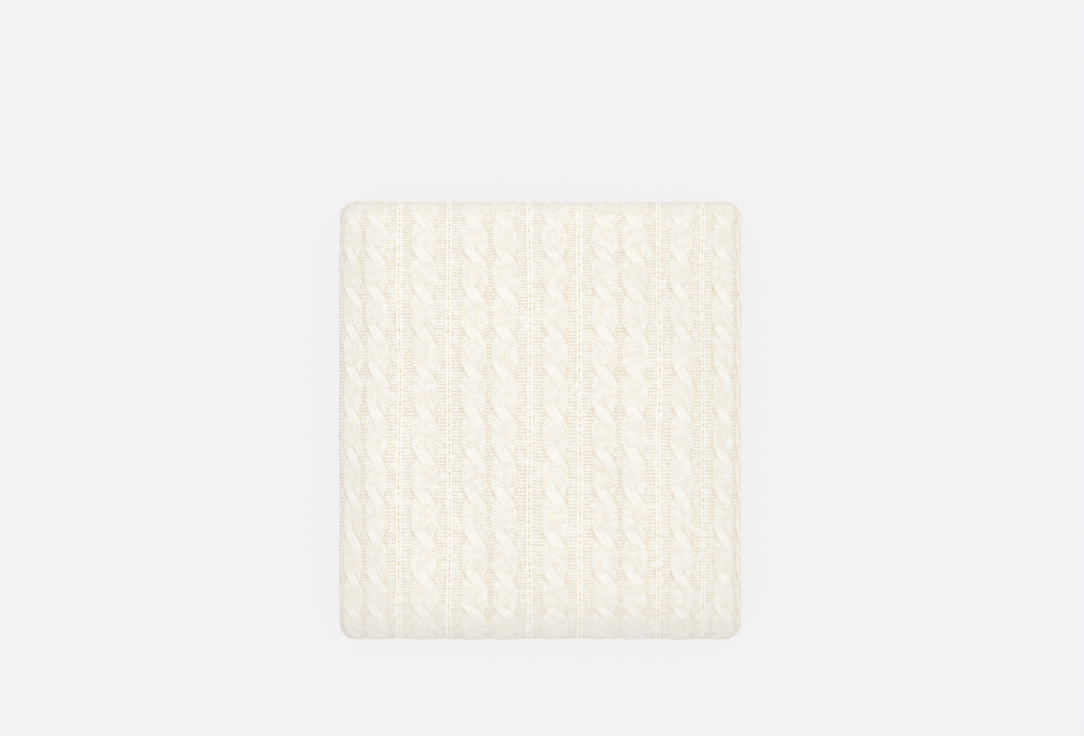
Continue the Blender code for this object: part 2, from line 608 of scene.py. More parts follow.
class ThirdsSection:
    """The strip's cross-section: the panel folded in thirds.

    Distances across it are arc lengths along the cloth's right side, 0 at the left side fold's
    outermost line.
    """

    def __init__(self, ply: float, gap: float, left: float, right: float) -> None:
        """Works out the section from the ply, the gap between plies and the two sides.

        Args:
            ply: the thickness of one ply, in metres.
            gap: the space between plies.
            left: x of the left side.
            right: x of the right side.
        """
        self.ply = ply
        self.gap = gap
        self.left_radius = ply + gap / 2
        self.right_radius = 1.5 * ply + gap
        self.left_x = left + self.left_radius
        self.right_x = right - self.right_radius
        self.left_turn = math.pi / 2 * self.left_radius
        self.right_turn = math.pi / 2 * self.right_radius
        self.flat = self.right_x - self.left_x
        self.right_side = self.left_turn + self.flat + self.right_turn
        self.first = -self.left_turn
        self.last = self.right_side + self.right_turn

    def place(self, distance: Grid) -> tuple[Grid, Grid]:
        """Where the cloth's right side runs.

        Args:
            distance: arc lengths from the left side, in metres.

        Returns:
            x, and the depth from the middle third's face.
        """
        x = self.left_x + (distance - self.left_turn)
        depth = np.zeros_like(distance)
        left = distance < self.left_turn
        angle = (self.left_turn - distance[left]) / self.left_radius
        x[left] = self.left_x - self.left_radius * np.sin(angle)
        depth[left] = self.left_radius * (1 - np.cos(angle))
        right = distance > self.left_turn + self.flat
        angle = (distance[right] - self.left_turn - self.flat) / self.right_radius
        x[right] = self.right_x + self.right_radius * np.sin(angle)
        depth[right] = self.right_radius * (1 - np.cos(angle))
        return x, depth


@dataclass(frozen=True)
class Stretch:
    """One straight leaf of the strip.

    Attributes:
        front: y of its front end.
        back: y of its back end.
        face: z of the panel's face.
        inward: 1 where the other plies lie above that face, -1 where they lie below.
        hemmed: whether its back end runs into a hem.
    """

    name: str
    front: float
    back: float
    face: float
    inward: int
    hemmed: bool = False

    @property
    def length(self) -> float:
        """The leaf's length along the strip, in metres."""
        return self.back - self.front

    def place(self, distance: Grid, x: Grid, depth: Grid) -> Grid:
        """Points for each place across and each distance from the front end.

        Args:
            distance: distances along the strip, in metres.
            x: places across.
            depth: depths below the panel's face at those places.

        Returns:
            A grid of points.
        """
        points = np.empty((len(x), len(distance), 3))
        points[..., 0] = x[:, None]
        points[..., 1] = self.front + distance[None, :]
        points[..., 2] = self.face + self.inward * depth[:, None]
        return points


@dataclass(frozen=True)
class Turn:
    """One roll of the strip, half a circle about an axis along X, from its lower to its upper end.

    Attributes:
        face: the radius of the panel's face.
        outward: 1 where the other plies lie outside that face, -1 where they lie inside.
    """

    name: str
    edge: Roll
    axis_y: float
    axis_z: float
    face: float
    outward: int
    least_rows: int = 19

    @property
    def length(self) -> float:
        """The length of the panel's face along the roll, in metres."""
        return math.pi * self.face

    def place(self, distance: Grid, x: Grid, depth: Grid) -> Grid:
        """Points for each place across and each distance from the lower end.

        Args:
            distance: distances along the strip, in metres.
            x: places across.
            depth: depths below the panel's face at those places.

        Returns:
            A grid of points.
        """
        angle = (distance / self.face)[None, :]
        radius = (self.face + self.outward * depth)[:, None]
        points = np.empty((len(x), len(distance), 3))
        points[..., 0] = x[:, None]
        points[..., 1] = self.axis_y + self.edge.value * radius * np.sin(angle)
        points[..., 2] = self.axis_z - radius * np.cos(angle)
        return points


def smooth_noise(x: Grid, y: Grid, wavelength: float, seed: int) -> Grid:
    """Slow unevenness between about -1 and 1, the same on every run.

    Args:
        x: first coordinate of the points.
        y: second coordinate.
        wavelength: the typical distance between crests.
        seed: picks one pattern.

    Returns:
        One value for each point.
    """
    chosen = np.random.default_rng(seed)
    total = np.zeros(np.broadcast(x, y).shape)
    waves = 7
    for _ in range(waves):
        heading = chosen.uniform(0, 2 * math.pi)
        rate = 2 * math.pi / (wavelength * chosen.uniform(0.7, 1.6))
        shift = chosen.uniform(0, 2 * math.pi)
        total += np.sin(rate * (x * math.cos(heading) + y * math.sin(heading)) + shift)
    return total / math.sqrt(waves)


class SoftStack:
    """Turns the crisp folded stack into a soft one: drooping edges, round corners, uneven sides."""

    def __init__(self, softness: Softness, low: Vector, high: Vector, fold_y: float) -> None:
        """Keeps the stack's box.

        Args:
            softness: how soft each part is.
            low: the box's lowest corner.
            high: its highest corner.
            fold_y: y of the plane where the two halves meet when the throw is opened, which stays flat.
        """
        self.softness = softness
        self.low = low
        self.high = high
        self.fold_y = fold_y

    def soften(self, points: Grid) -> Grid:
        """Moves crisp points to where they lie in the soft stack.

        Args:
            points: a grid of points.

        Returns:
            The moved points.
        """
        soft = points.copy()
        self._wander(soft)
        self._round_corners(soft)
        self._inset_sides(soft)
        self._droop(soft)
        return soft

    def _wander(self, p: Grid) -> None:
        """Lets wales and courses wander a little, fading out at the edges.

        Args:
            p: the points, which are moved.
        """
        x, y, z = p[..., 0].copy(), p[..., 1].copy(), p[..., 2].copy()
        level = 0.4 * z
        waves = self.softness.wander_waves
        inner = self._from_edges(x, y, self.softness.wander_fade)
        p[..., 0] += inner * self.softness.wander * smooth_noise(x + level, y, waves[0], 11)
        meeting = np.clip(np.abs(y - self.fold_y) / self.softness.wander_fade, 0, 1)
        p[..., 1] += inner * meeting * self.softness.wander * smooth_noise(x, y + level, waves[1], 12)

    def _from_edges(self, x: Grid, y: Grid, reach: float) -> Grid:
        """How far inside the stack's four sides each point is.

        Args:
            x: the points' x.
            y: their y.
            reach: how far from a side the value stops rising, in metres.

        Returns:
            0 at a side and 1 further in than reach.
        """
        near = np.minimum(
            np.minimum(x - self.low.x, self.high.x - x), np.minimum(y - self.low.y, self.high.y - y)
        )
        t = np.clip(near / reach, 0, 1)
        return smooth_step(t)

    def _round_corners(self, p: Grid) -> None:
        """Rounds the stack's four upright corners.

        Args:
            p: the points, which are moved.
        """
        soft = self.softness
        corners = (
            (-1, -1, soft.corner_front_left),
            (1, -1, soft.corner_front_right),
            (-1, 1, soft.corner_back_left),
            (1, 1, soft.corner_back_right),
        )
        for x_sign, y_sign, radius in corners:
            x_edge = self.high.x if x_sign > 0 else self.low.x
            y_edge = self.high.y if y_sign > 0 else self.low.y
            u = 1 - np.abs(x_edge - p[..., 0]) / radius
            v = 1 - np.abs(y_edge - p[..., 1]) / radius
            inside = (u > 0) & (v > 0)
            u, v = u[inside], v[inside]
            p[..., 0][inside] = x_edge - x_sign * radius * (1 - u * np.sqrt(1 - soft.corner_round * v * v))
            p[..., 1][inside] = y_edge - y_sign * radius * (1 - v * np.sqrt(1 - soft.corner_round * u * u))

    def _inset_sides(self, p: Grid) -> None:
        """Swells the four edges, and shifts them in and out by a little, layer by layer.

        Args:
            p: the points, which are moved.
        """
        depth = self.softness.side_inset
        x, y, z = p[..., 0].copy(), p[..., 1].copy(), p[..., 2].copy()
        soft = self.softness
        front_reach = self.fold_y - self.low.y
        sides = (
            (0, -1, self.low.x, soft.swell_left, soft.swell_reach, 21),
            (0, 1, self.high.x, soft.swell_right, soft.swell_reach, 22),
            (1, 1, self.high.y, soft.swell_back, soft.swell_reach, 23),
            (1, -1, self.low.y, soft.swell_front, front_reach, 24),
        )
        for axis, sign, edge, swell, reach, seed in sides:
            toward, along = (x, y) if axis == 0 else (y, x)
            near = np.clip(1 - np.abs(edge - toward) / reach, 0, 1) ** 2
            uneven = 0.5 + 0.5 * np.clip(smooth_noise(along, 3 * z, soft.side_wave, seed), -1, 1)
            p[..., axis] -= sign * near * (depth * uneven - swell)

    def _droop(self, p: Grid) -> None:
        """Presses the stack down towards its edges, and lets the top billow a little.

        Args:
            p: the points, which are moved.
        """
        soft = self.softness
        x, y, z = p[..., 0], p[..., 1], p[..., 2]
        reach = soft.droop_reach
        sides = (
            (x - self.low.x, soft.droop_left),
            (self.high.x - x, soft.droop_right),
            (y - self.low.y, soft.droop_front),
            (self.high.y - y, soft.droop_back),
        )
        total = np.zeros_like(x)
        for distance, most in sides:
            t = np.clip(1 - distance / reach, 0, 1)
            total += (most * t**2.2) ** 2
        down = np.sqrt(total)
        thickness = self.high.z - self.low.z
        billow = soft.billow * smooth_noise(x, y, soft.billow_wave, 31)
        billow *= self._from_edges(x, y, soft.billow_fade)
        share = np.clip((z - self.low.z) / thickness, 0, 1)
        p[..., 2] = z - share * down - share**2 * (soft.billow + billow)


# ---------------------------------------------------------------------------
# Grids of cloth made into meshes
# ---------------------------------------------------------------------------


def mesh_from(bm: bmesh.types.BMesh, name: str) -> bpy.types.Mesh:
    """A new mesh of a finished bmesh.

    Args:
        bm: the bmesh, which is freed.
        name: the mesh's name.

    Returns:
        The mesh.
    """
    mesh = bpy.data.meshes.new(name)
    bm.to_mesh(mesh)
    bm.free()
    return mesh


def linked(name: str, data: bpy.types.ID) -> bpy.types.Object:
    """A new object of some data, linked to the scene.

    Args:
        name: the object's name.
        data: its mesh, lamp or camera.

    Returns:
        The object.
    """
    made = bpy.data.objects.new(name, data)
    bpy.context.scene.collection.objects.link(made)
    return made


def grid_normals(points: Grid) -> Grid:
    """Unit normals of a grid of points, facing the way that makes (across x along) positive.

    Args:
        points: the grid of points.

    Returns:
        One normal for each point.
    """
    across = np.gradient(points, axis=0)
    along = np.gradient(points, axis=1)
    normal = np.cross(across, along)
    return normal / np.maximum(np.linalg.norm(normal, axis=2, keepdims=True), 1e-12)


def crease_shade_of(height: Grid, cells: int) -> Grid:
    """How deep each point lies below the crests around it, as the mask of the shade painted into creases.

    Args:
        height: the grid of heights, in metres.
        cells: how far round each point the crests are looked for.

    Returns:
        One value for each point, 0 near a crest and 1 in a crease.
    """
    crest = height.copy()
    for axis in (0, 1):
        widest = crest.copy()
        for shift in range(1, cells + 1):
            for way in (-shift, shift):
                widest = np.maximum(widest, np.roll(crest, way, axis=axis))
        crest = widest
    return np.clip((crest - height - SOFTNESS.hollow_from) / SOFTNESS.hollow_depth, 0.0, 1.0)


@dataclass
class ClothGrid:
    """A grid of cloth: its points, their normals, the mask of the shade painted into its creases, and its
    knitting.
    """

    points: Grid
    normals: Grid
    hollow: Grid
    across: Grid
    along: Grid
    relief: Relief

    def strip(self, first: int, last: int) -> "ClothGrid":
        """The part between two columns.

        Args:
            first: the first column.
            last: the last column, included.

        Returns:
            The narrower grid.
        """
        part = slice(first, last + 1)
        relief = Relief(
            self.relief.height[part], self.relief.motif[part], self.relief.stitches[first:last]
        )
        return ClothGrid(
            self.points[part], self.normals[part], self.hollow[part], self.across[part], self.along, relief
        )

    def facing_out(self) -> "ClothGrid":
        """Puts the rows in the order that makes the mesh's faces look outwards.

        Returns:
            The same cloth.
        """
        across = self.points[1:, :-1] - self.points[:-1, :-1]
        along = self.points[:-1, 1:] - self.points[:-1, :-1]
        if np.sum(np.cross(across, along) * self.normals[:-1, :-1]) > 0:
            return self
        relief = Relief(
            self.relief.height[:, ::-1],
            self.relief.motif[:, ::-1],
            self.relief.stitches[:, ::-1, :, ::-1],
        )
        return ClothGrid(
            self.points[:, ::-1],
            self.normals[:, ::-1],
            self.hollow[:, ::-1],
            self.across,
            self.along[::-1],
            relief,
        )

    def make(self, name: str) -> bpy.types.Object:
        """A mesh object of this grid, with the mask of its painted crease shade, its motifs and its
        stitches in the UV map.

        Args:
            name: the object's name.

        Returns:
            The new object, linked to the scene.
        """
        columns, rows = self.points.shape[:2]
        bm = bmesh.new()
        bmesh.ops.create_grid(bm, x_segments=columns - 1, y_segments=rows - 1, size=1.0)
        mesh = mesh_from(bm, name)
        i, j = grid_places(mesh, columns, rows)
        mesh.vertices.foreach_set("co", self.points[i, j].ravel())
        # The first attribute is the mask of the shade painted into creases.
        for label, values in (("hollow", self.hollow), ("motif", self.relief.motif)):
            attribute = mesh.attributes.new(label, "FLOAT", "POINT")
            attribute.data.foreach_set("value", values[i, j].astype(np.float32))
        corner = np.empty(len(mesh.loops), dtype=np.int32)
        mesh.loops.foreach_get("vertex_index", corner)
        corner_i, corner_j = i[corner].reshape(-1, 4), j[corner].reshape(-1, 4)
        cell_i, cell_j = corner_i.min(axis=1, keepdims=True), corner_j.min(axis=1, keepdims=True)
        stitches = self.relief.stitches[cell_i, cell_j, corner_i - cell_i, corner_j - cell_j]
        uv = mesh.uv_layers.new(name="knitting")
        uv.data.foreach_set("uv", stitches.astype(np.float32).ravel())
        mesh.polygons.foreach_set("use_smooth", np.ones(len(mesh.polygons), dtype=bool))
        mesh.update()
        mesh.normals_split_custom_set_from_vertices(self.normals[i, j])
        return linked(name, mesh)


def grid_places(mesh: bpy.types.Mesh, columns: int, rows: int) -> tuple[Grid, Grid]:
    """The column and row of each vertex of a new grid of size 1.

    Args:
        mesh: the grid's mesh.
        columns: how many columns of points it has.
        rows: how many rows.

    Returns:
        The columns and the rows.
    """
    flat = np.empty(len(mesh.vertices) * 3)
    mesh.vertices.foreach_get("co", flat)
    flat = flat.reshape(-1, 3)
    i = np.rint((flat[:, 0] + 1) / 2 * (columns - 1)).astype(int)
    j = np.rint((flat[:, 1] + 1) / 2 * (rows - 1)).astype(int)
    return i, j


class FoldedThrow:
    """The whole folded throw: its section, its leaves and rolls, and the cloth laid over them."""

    def __init__(self) -> None:
        """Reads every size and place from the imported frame."""
        self.low, self.high = (Vector(corner) for corner in CAD_BOX)
        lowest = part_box("leaf_1_bottom")
        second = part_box("leaf_2_lower_inner")
        self.leaf = lowest[1][2] - lowest[0][2]
        self.gap = second[0][2] - lowest[1][2]
        self.ply = (self.leaf - 2 * self.gap) / 3
        self.section = ThirdsSection(self.ply, self.gap, self.low.x, self.high.x)
        hinge = next(j for j in frame["joints"] if j["name"] == "final_fold")
        self.front_y, self.middle_z = hinge["pos_m"][1], hinge["pos_m"][2]
        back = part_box("fold_back_upper")
        back_radius = self.leaf + self.gap / 2
        self.back_y = back[1][1] - back_radius
        self.back_z = back[1][2] - back_radius
        self.soft = SoftStack(SOFTNESS, self.low, self.high, self.front_y)
        self._make_path(back_radius)
        first = self.cloth_across(np.array([self.section.first]))[0]
        last = self.cloth_across(np.array([self.section.last]))[0]
        self.cloth_first, self.cloth_last = float(first), float(last)
        self.pattern = KnitPattern(GAUGE, self.cloth_first - 0.01, self.cloth_last + 0.01)
        table = np.linspace(self.section.first, self.section.last, 4001)
        self._across_table = (self.cloth_across(table), table)

    def _make_path(self, back_radius: float) -> None:
        """Places the leaves and rolls.

        Args:
            back_radius: the back roll's outer radius.
        """
        pair = self.leaf + self.gap
        cast_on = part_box("hem_cast_on")[0][1]
        bind_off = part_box("hem_bind_off")[0][1]
        z_mid = self.middle_z
        self.leaf_1 = Stretch("leaf_1", self.front_y, cast_on, self.low.z, 1, True)
        self.leaf_2 = Stretch("leaf_2", self.front_y, bind_off, pair + self.leaf, -1, True)
        self.leaf_3 = Stretch("leaf_3", self.front_y, self.back_y, 2 * pair, 1)
        self.leaf_4 = Stretch("leaf_4", self.front_y, self.back_y, self.high.z, -1)
        self.outer = Turn("outer_roll", Roll.FRONT, self.front_y, z_mid, z_mid - self.low.z, -1)
        self.inner = Turn("inner_roll", Roll.FRONT, self.front_y, z_mid, self.gap / 2, 1)
        self.back = Turn("back_roll", Roll.BACK, self.back_y, self.back_z, back_radius, -1)
        self.front_extreme = self.outer.length / 2
        self.back_extreme = self.outer.length + self.leaf_4.length + self.back.length / 2

    def cloth_across(self, distance: Grid) -> Grid:
        """Metres of flat cloth from the left side, gathered towards both sides.

        Args:
            distance: arc lengths across the section.

        Returns:
            Places across the flat cloth.
        """
        from_right = distance - self.section.right_side
        right_total = RIGHT_GATHER.taken_up(np.array([self.section.right_side]))[0]
        return distance + LEFT_GATHER.taken_up(distance) + RIGHT_GATHER.taken_up(from_right) + right_total

    def cloth_along(self, distance: Grid) -> Grid:
        """Metres of flat cloth along the strip, gathered towards the front and back folds.

        Args:
            distance: arc lengths from the outer roll's lower end.

        Returns:
            Places along the flat cloth.
        """
        from_front = distance - self.front_extreme
        from_back = distance - self.back_extreme
        return distance + FRONT_GATHER.taken_up(from_front) + BACK_GATHER.taken_up(from_back)

    def stretch_at(self, distance: Grid) -> Grid:
        """How much of the relief is left where the strip is drawn tight round its outer folds.

        Args:
            distance: arc lengths from the outer roll's lower end.

        Returns:
            A share of the full relief.
        """
        near = np.minimum(np.abs(distance - self.front_extreme), np.abs(distance - self.back_extreme))
        t = np.clip((near - SOFTNESS.tight_half) / SOFTNESS.tight_fade, 0, 1)
        return SOFTNESS.relief_left + (1 - SOFTNESS.relief_left) * smooth_step(t)

    def across_from_cloth(self, cloth: Grid) -> Grid:
        """Arc lengths across the section for places across the flat cloth."""
        return np.interp(cloth, *self._across_table)

    def lay(self, part: "Stretch | Turn", start: float, step: int, fineness: tuple[int, int]) -> ClothGrid:
        """Lays knitting over the right side of one leaf or roll.

        Args:
            part: the leaf or roll.
            start: the arc length along the strip at its front or lower end.
            step: 1 where the strip runs from that end, -1 where it runs towards it.
            fineness: grid cells for each wale and each course.

        Returns:
            The grid, soft and in relief.
        """
        ends = np.array([start, start + step * part.length])
        low_cloth, high_cloth = np.sort(self.cloth_along(ends))
        table = np.linspace(0, part.length, 3001)
        cloth_table = self.cloth_along(start + step * table)
        order = np.argsort(cloth_table)
        across = self.pattern.columns(self.cloth_first, self.cloth_last, fineness[0])
        along = self.pattern.rows(low_cloth, high_cloth, fineness[1])
        if isinstance(part, Turn) and len(along) < part.least_rows:
            along = np.linspace(low_cloth, high_cloth, part.least_rows)
        if step < 0:
            along = along[::-1]
        distance = np.interp(along, cloth_table[order], table[order])
        x, depth = self.section.place(self.across_from_cloth(across))
        base = self.soft.soften(part.place(distance, x, depth))
        normals = self._outward(grid_normals(base), part)
        relief = self.pattern.knit(across, along)
        relief.height *= self.stretch_at(start + step * distance)[None, :]
        if isinstance(part, Stretch) and part.hemmed:
            closing = np.clip(1 - (part.length - distance) / HEM_CLOSING, 0, 1)[None, :]
            relief.height = relief.height * (1 - closing) + GAUGE.rib_base * closing
        points = base + normals * relief.height[..., None]
        outward = self._outward(grid_normals(points), part)
        # Mask of the shade painted into the creases of the relief.
        hollow = crease_shade_of(relief.height, max(2, fineness[0] - 2))
        return ClothGrid(points, outward, hollow, across, along, relief).facing_out()

    @staticmethod
    def _outward(normals: Grid, part: "Stretch | Turn") -> Grid:
        """Turns normals to face out of the cloth's right side.

        Args:
            normals: the grid's normals.
            part: the leaf or roll.

        Returns:
            The turned normals.
        """
        if isinstance(part, Stretch):
            return normals * (-part.inward)
        return normals * part.edge.value * (-part.outward) * -1


# ---------------------------------------------------------------------------
# Closed plies and hems
# ---------------------------------------------------------------------------


def arc_points(x: float, depth: float, radius: float, start: float, end: float, steps: int) -> Grid:
    """Points along an arc, without the last one.

    Args:
        x: the arc's centre.
        depth: the same, in depth.
        radius: the arc's radius.
        start: the first angle, in degrees.
        end: the last angle.
        steps: how many points.

    Returns:
        Rows of (x, depth).
    """
    angle = np.radians(np.linspace(start, end, steps + 1)[:-1])
    return np.stack([x + radius * np.cos(angle), depth + radius * np.sin(angle)], axis=1)


def line_points(start: tuple[float, float], end: tuple[float, float], spacing: float) -> Grid:
    """Points along a straight line, without the last one.

    Args:
        start: the first point, as (x, depth).
        end: the last point.
        spacing: about how far apart the points are.

    Returns:
        Rows of (x, depth).
    """
    length = math.dist(start, end)
    steps = max(1, round(length / spacing))
    share = np.linspace(0, 1, steps + 1)[:-1, None]
    return np.array(start) * (1 - share) + np.array(end) * share


def third_outline(section: ThirdsSection, free_x: float, root_x: float, depth: float) -> Grid:
    """The closed outline of one folded-over third: flat at its root, round at its free edge.

    Args:
        section: the strip's cross-section.
        free_x: x of the middle of the round free edge.
        root_x: x of the end that joins the side fold.
        depth: depth of the ply's middle.

    Returns:
        Points (x, depth) once round.
    """
    half = section.ply / 2
    toward_root = 1 if root_x > free_x else -1
    lower, upper = depth - half, depth + half
    spacing = abs(root_x - free_x) / 14
    turn = (90, 270) if toward_root > 0 else (90, -90)
    return np.concatenate(
        [
            line_points((root_x, upper), (free_x, upper), spacing),
            arc_points(free_x, depth, half, turn[0], turn[1], 10),
            line_points((free_x, lower), (root_x, lower), spacing),
            line_points((root_x, lower), (root_x, upper), half),
        ]
    )


def thirds_outline(section: ThirdsSection, free_x: float, spacing: float) -> Grid:
    """The closed outline of all three plies, seen from the strip's end.

    Args:
        section: the strip's cross-section.
        free_x: x of the middle of the folded-over third's round free edge.
        spacing: about how far apart the points are.

    Returns:
        Points (x, depth) once round.
    """
    ply, gap = section.ply, section.gap
    left_x, right_x = section.left_x, section.right_x
    left_depth, right_depth = section.left_radius, section.right_radius
    turn_steps = max(6, round(math.pi * section.left_radius / spacing))
    right_steps = max(8, round(math.pi * section.right_radius / spacing))
    over, tucked = 2.5 * ply + 2 * gap, 1.5 * ply + gap
    return np.concatenate(
        [
            arc_points(left_x, left_depth, section.left_radius, 90, 270, turn_steps),
            line_points((left_x, 0.0), (right_x, 0.0), spacing),
            arc_points(right_x, right_depth, section.right_radius, -90, 90, right_steps),
            line_points((right_x, 3 * ply + 2 * gap), (free_x, 3 * ply + 2 * gap), spacing),
            arc_points(free_x, over, ply / 2, 90, 270, 8),
            line_points((free_x, 2 * ply + 2 * gap), (right_x, 2 * ply + 2 * gap), spacing),
            arc_points(right_x, right_depth, section.right_radius - ply, 90, -90, right_steps),
            line_points((right_x, ply), (left_x, ply), spacing),
            arc_points(left_x, left_depth, gap / 2, 270, 90, 3),
            line_points((left_x, ply + gap), (right_x, ply + gap), spacing),
            arc_points(right_x, tucked, ply / 2, -90, 90, 8),
            line_points((right_x, 2 * ply + gap), (left_x, 2 * ply + gap), spacing),
        ]
    )


def outline_normals(outline: Grid) -> Grid:
    """Unit normals of a closed outline, pointing out of it.

    Args:
        outline: points (x, depth) once round.

    Returns:
        One normal for each point.
    """
    tangent = np.roll(outline, -1, axis=0) - np.roll(outline, 1, axis=0)
    normal = np.stack([tangent[:, 1], -tangent[:, 0]], axis=1)
    normal /= np.maximum(np.linalg.norm(normal, axis=1, keepdims=True), 1e-12)
    x, y = outline[:, 0], outline[:, 1]
    area = np.sum(x * np.roll(y, -1) - np.roll(x, -1) * y)
    return normal if area > 0 else -normal


def make_closed_band(name: str, points: Grid, hollow: Grid, motif: Motif) -> bpy.types.Object:
    """A closed solid from a grid whose first index goes once round and whose second goes along.

    Args:
        name: the object's name.
        points: the grid of points, without the repeated first column.
        hollow: the share of painted crease shade at each point, 0 to 1.
        motif: the stitch that it is knitted in.

    Returns:
        The new object, linked to the scene.
    """
    around = np.concatenate([points, points[:1]])
    depth = np.concatenate([hollow, hollow[:1]])
    columns, rows = around.shape[:2]
    wale = arc_lengths(around, 0) / GAUGE.wale
    course = arc_lengths(around, 1) / GAUGE.course
    bm = bmesh.new()
    bmesh.ops.create_grid(bm, x_segments=columns - 1, y_segments=rows - 1, size=1.0)
    crease_shade_layer = bm.verts.layers.float.new("hollow")
    motif_layer = bm.verts.layers.float.new("motif")
    uv_layer = bm.loops.layers.uv.new("knitting")
    for vert in bm.verts:
        i = round((vert.co.x + 1) / 2 * (columns - 1))
        j = round((vert.co.y + 1) / 2 * (rows - 1))
        vert.co = around[i, j]
        vert[crease_shade_layer] = depth[i, j]
        vert[motif_layer] = MOTIF_CODES[motif]
        for loop in vert.link_loops:
            loop[uv_layer].uv = (wale[i], course[j])
    bmesh.ops.remove_doubles(bm, verts=bm.verts, dist=1e-6)
    rims = [edge for edge in bm.edges if edge.is_boundary]
    bmesh.ops.holes_fill(bm, edges=rims, sides=0)
    bmesh.ops.recalc_face_normals(bm, faces=bm.faces)
    mesh = mesh_from(bm, name)
    mesh.shade_smooth()
    return linked(name, mesh)


def arc_lengths(points: Grid, axis: int) -> Grid:
    """Distances along the middle line of a grid, from its start, in metres.

    Args:
        points: the grid of points.
        axis: 0 for the line across the grid, 1 for the line along it.

    Returns:
        One distance for each point of that line.
    """
    middle = points.shape[1 - axis] // 2
    line = points[:, middle] if axis == 0 else points[middle]
    steps = np.linalg.norm(np.diff(line, axis=0), axis=1)
    return np.concatenate([[0.0], np.cumsum(steps)])


# ---------------------------------------------------------------------------
# Finishes
# ---------------------------------------------------------------------------


@dataclass(frozen=True)
class YarnFinish:
    """The look of a yarn.

    Attributes:
        crest: colour where the yarn faces out, linear RGB.
        hollow: colour of the shade painted into the creases between cables and channels.
        hole: colour of the shade painted into the holes between stitches.
        roughness: of the fibres.
        sheen: the weight of the fibres' soft edge light.
        stitch: height of the stitches' relief, in metres.
        twist: height of the plied yarn's twist.
        fuzz: height of the loose fibres.
    """

    name: str
    crest: tuple[float, float, float]
    hollow: tuple[float, float, float]
    hole: tuple[float, float, float]
    roughness: float
    sheen: float
    stitch: float
    twist: float
    fuzz: float


CREAM_YARN = YarnFinish(
    name="cream_cable_knit",
    crest=(0.930, 0.911, 0.860),
    # Painted crease shade: a warm tan for the shade and warm bounce light in creases.
    hollow=(0.885, 0.822, 0.700),
    # Painted shade in the holes between stitches: a deeper tan.
    hole=(0.720, 0.535, 0.290),
    roughness=0.9,
    sheen=0.15,
    stitch=0.00075,
    twist=0.00010,
    fuzz=0.00014,
)
LABEL_THREAD = YarnFinish(
    name="label_thread",
    crest=(0.80, 0.77, 0.70),
    # Painted crease shade of the thread.
    hollow=(0.55, 0.50, 0.42),
    # The same as the crest, so no shade is painted into the thread's holes.
    hole=(0.80, 0.77, 0.70),
    roughness=0.6,
    sheen=0.1,
    stitch=0.0,
    twist=0.00004,
    fuzz=0.00004,
)


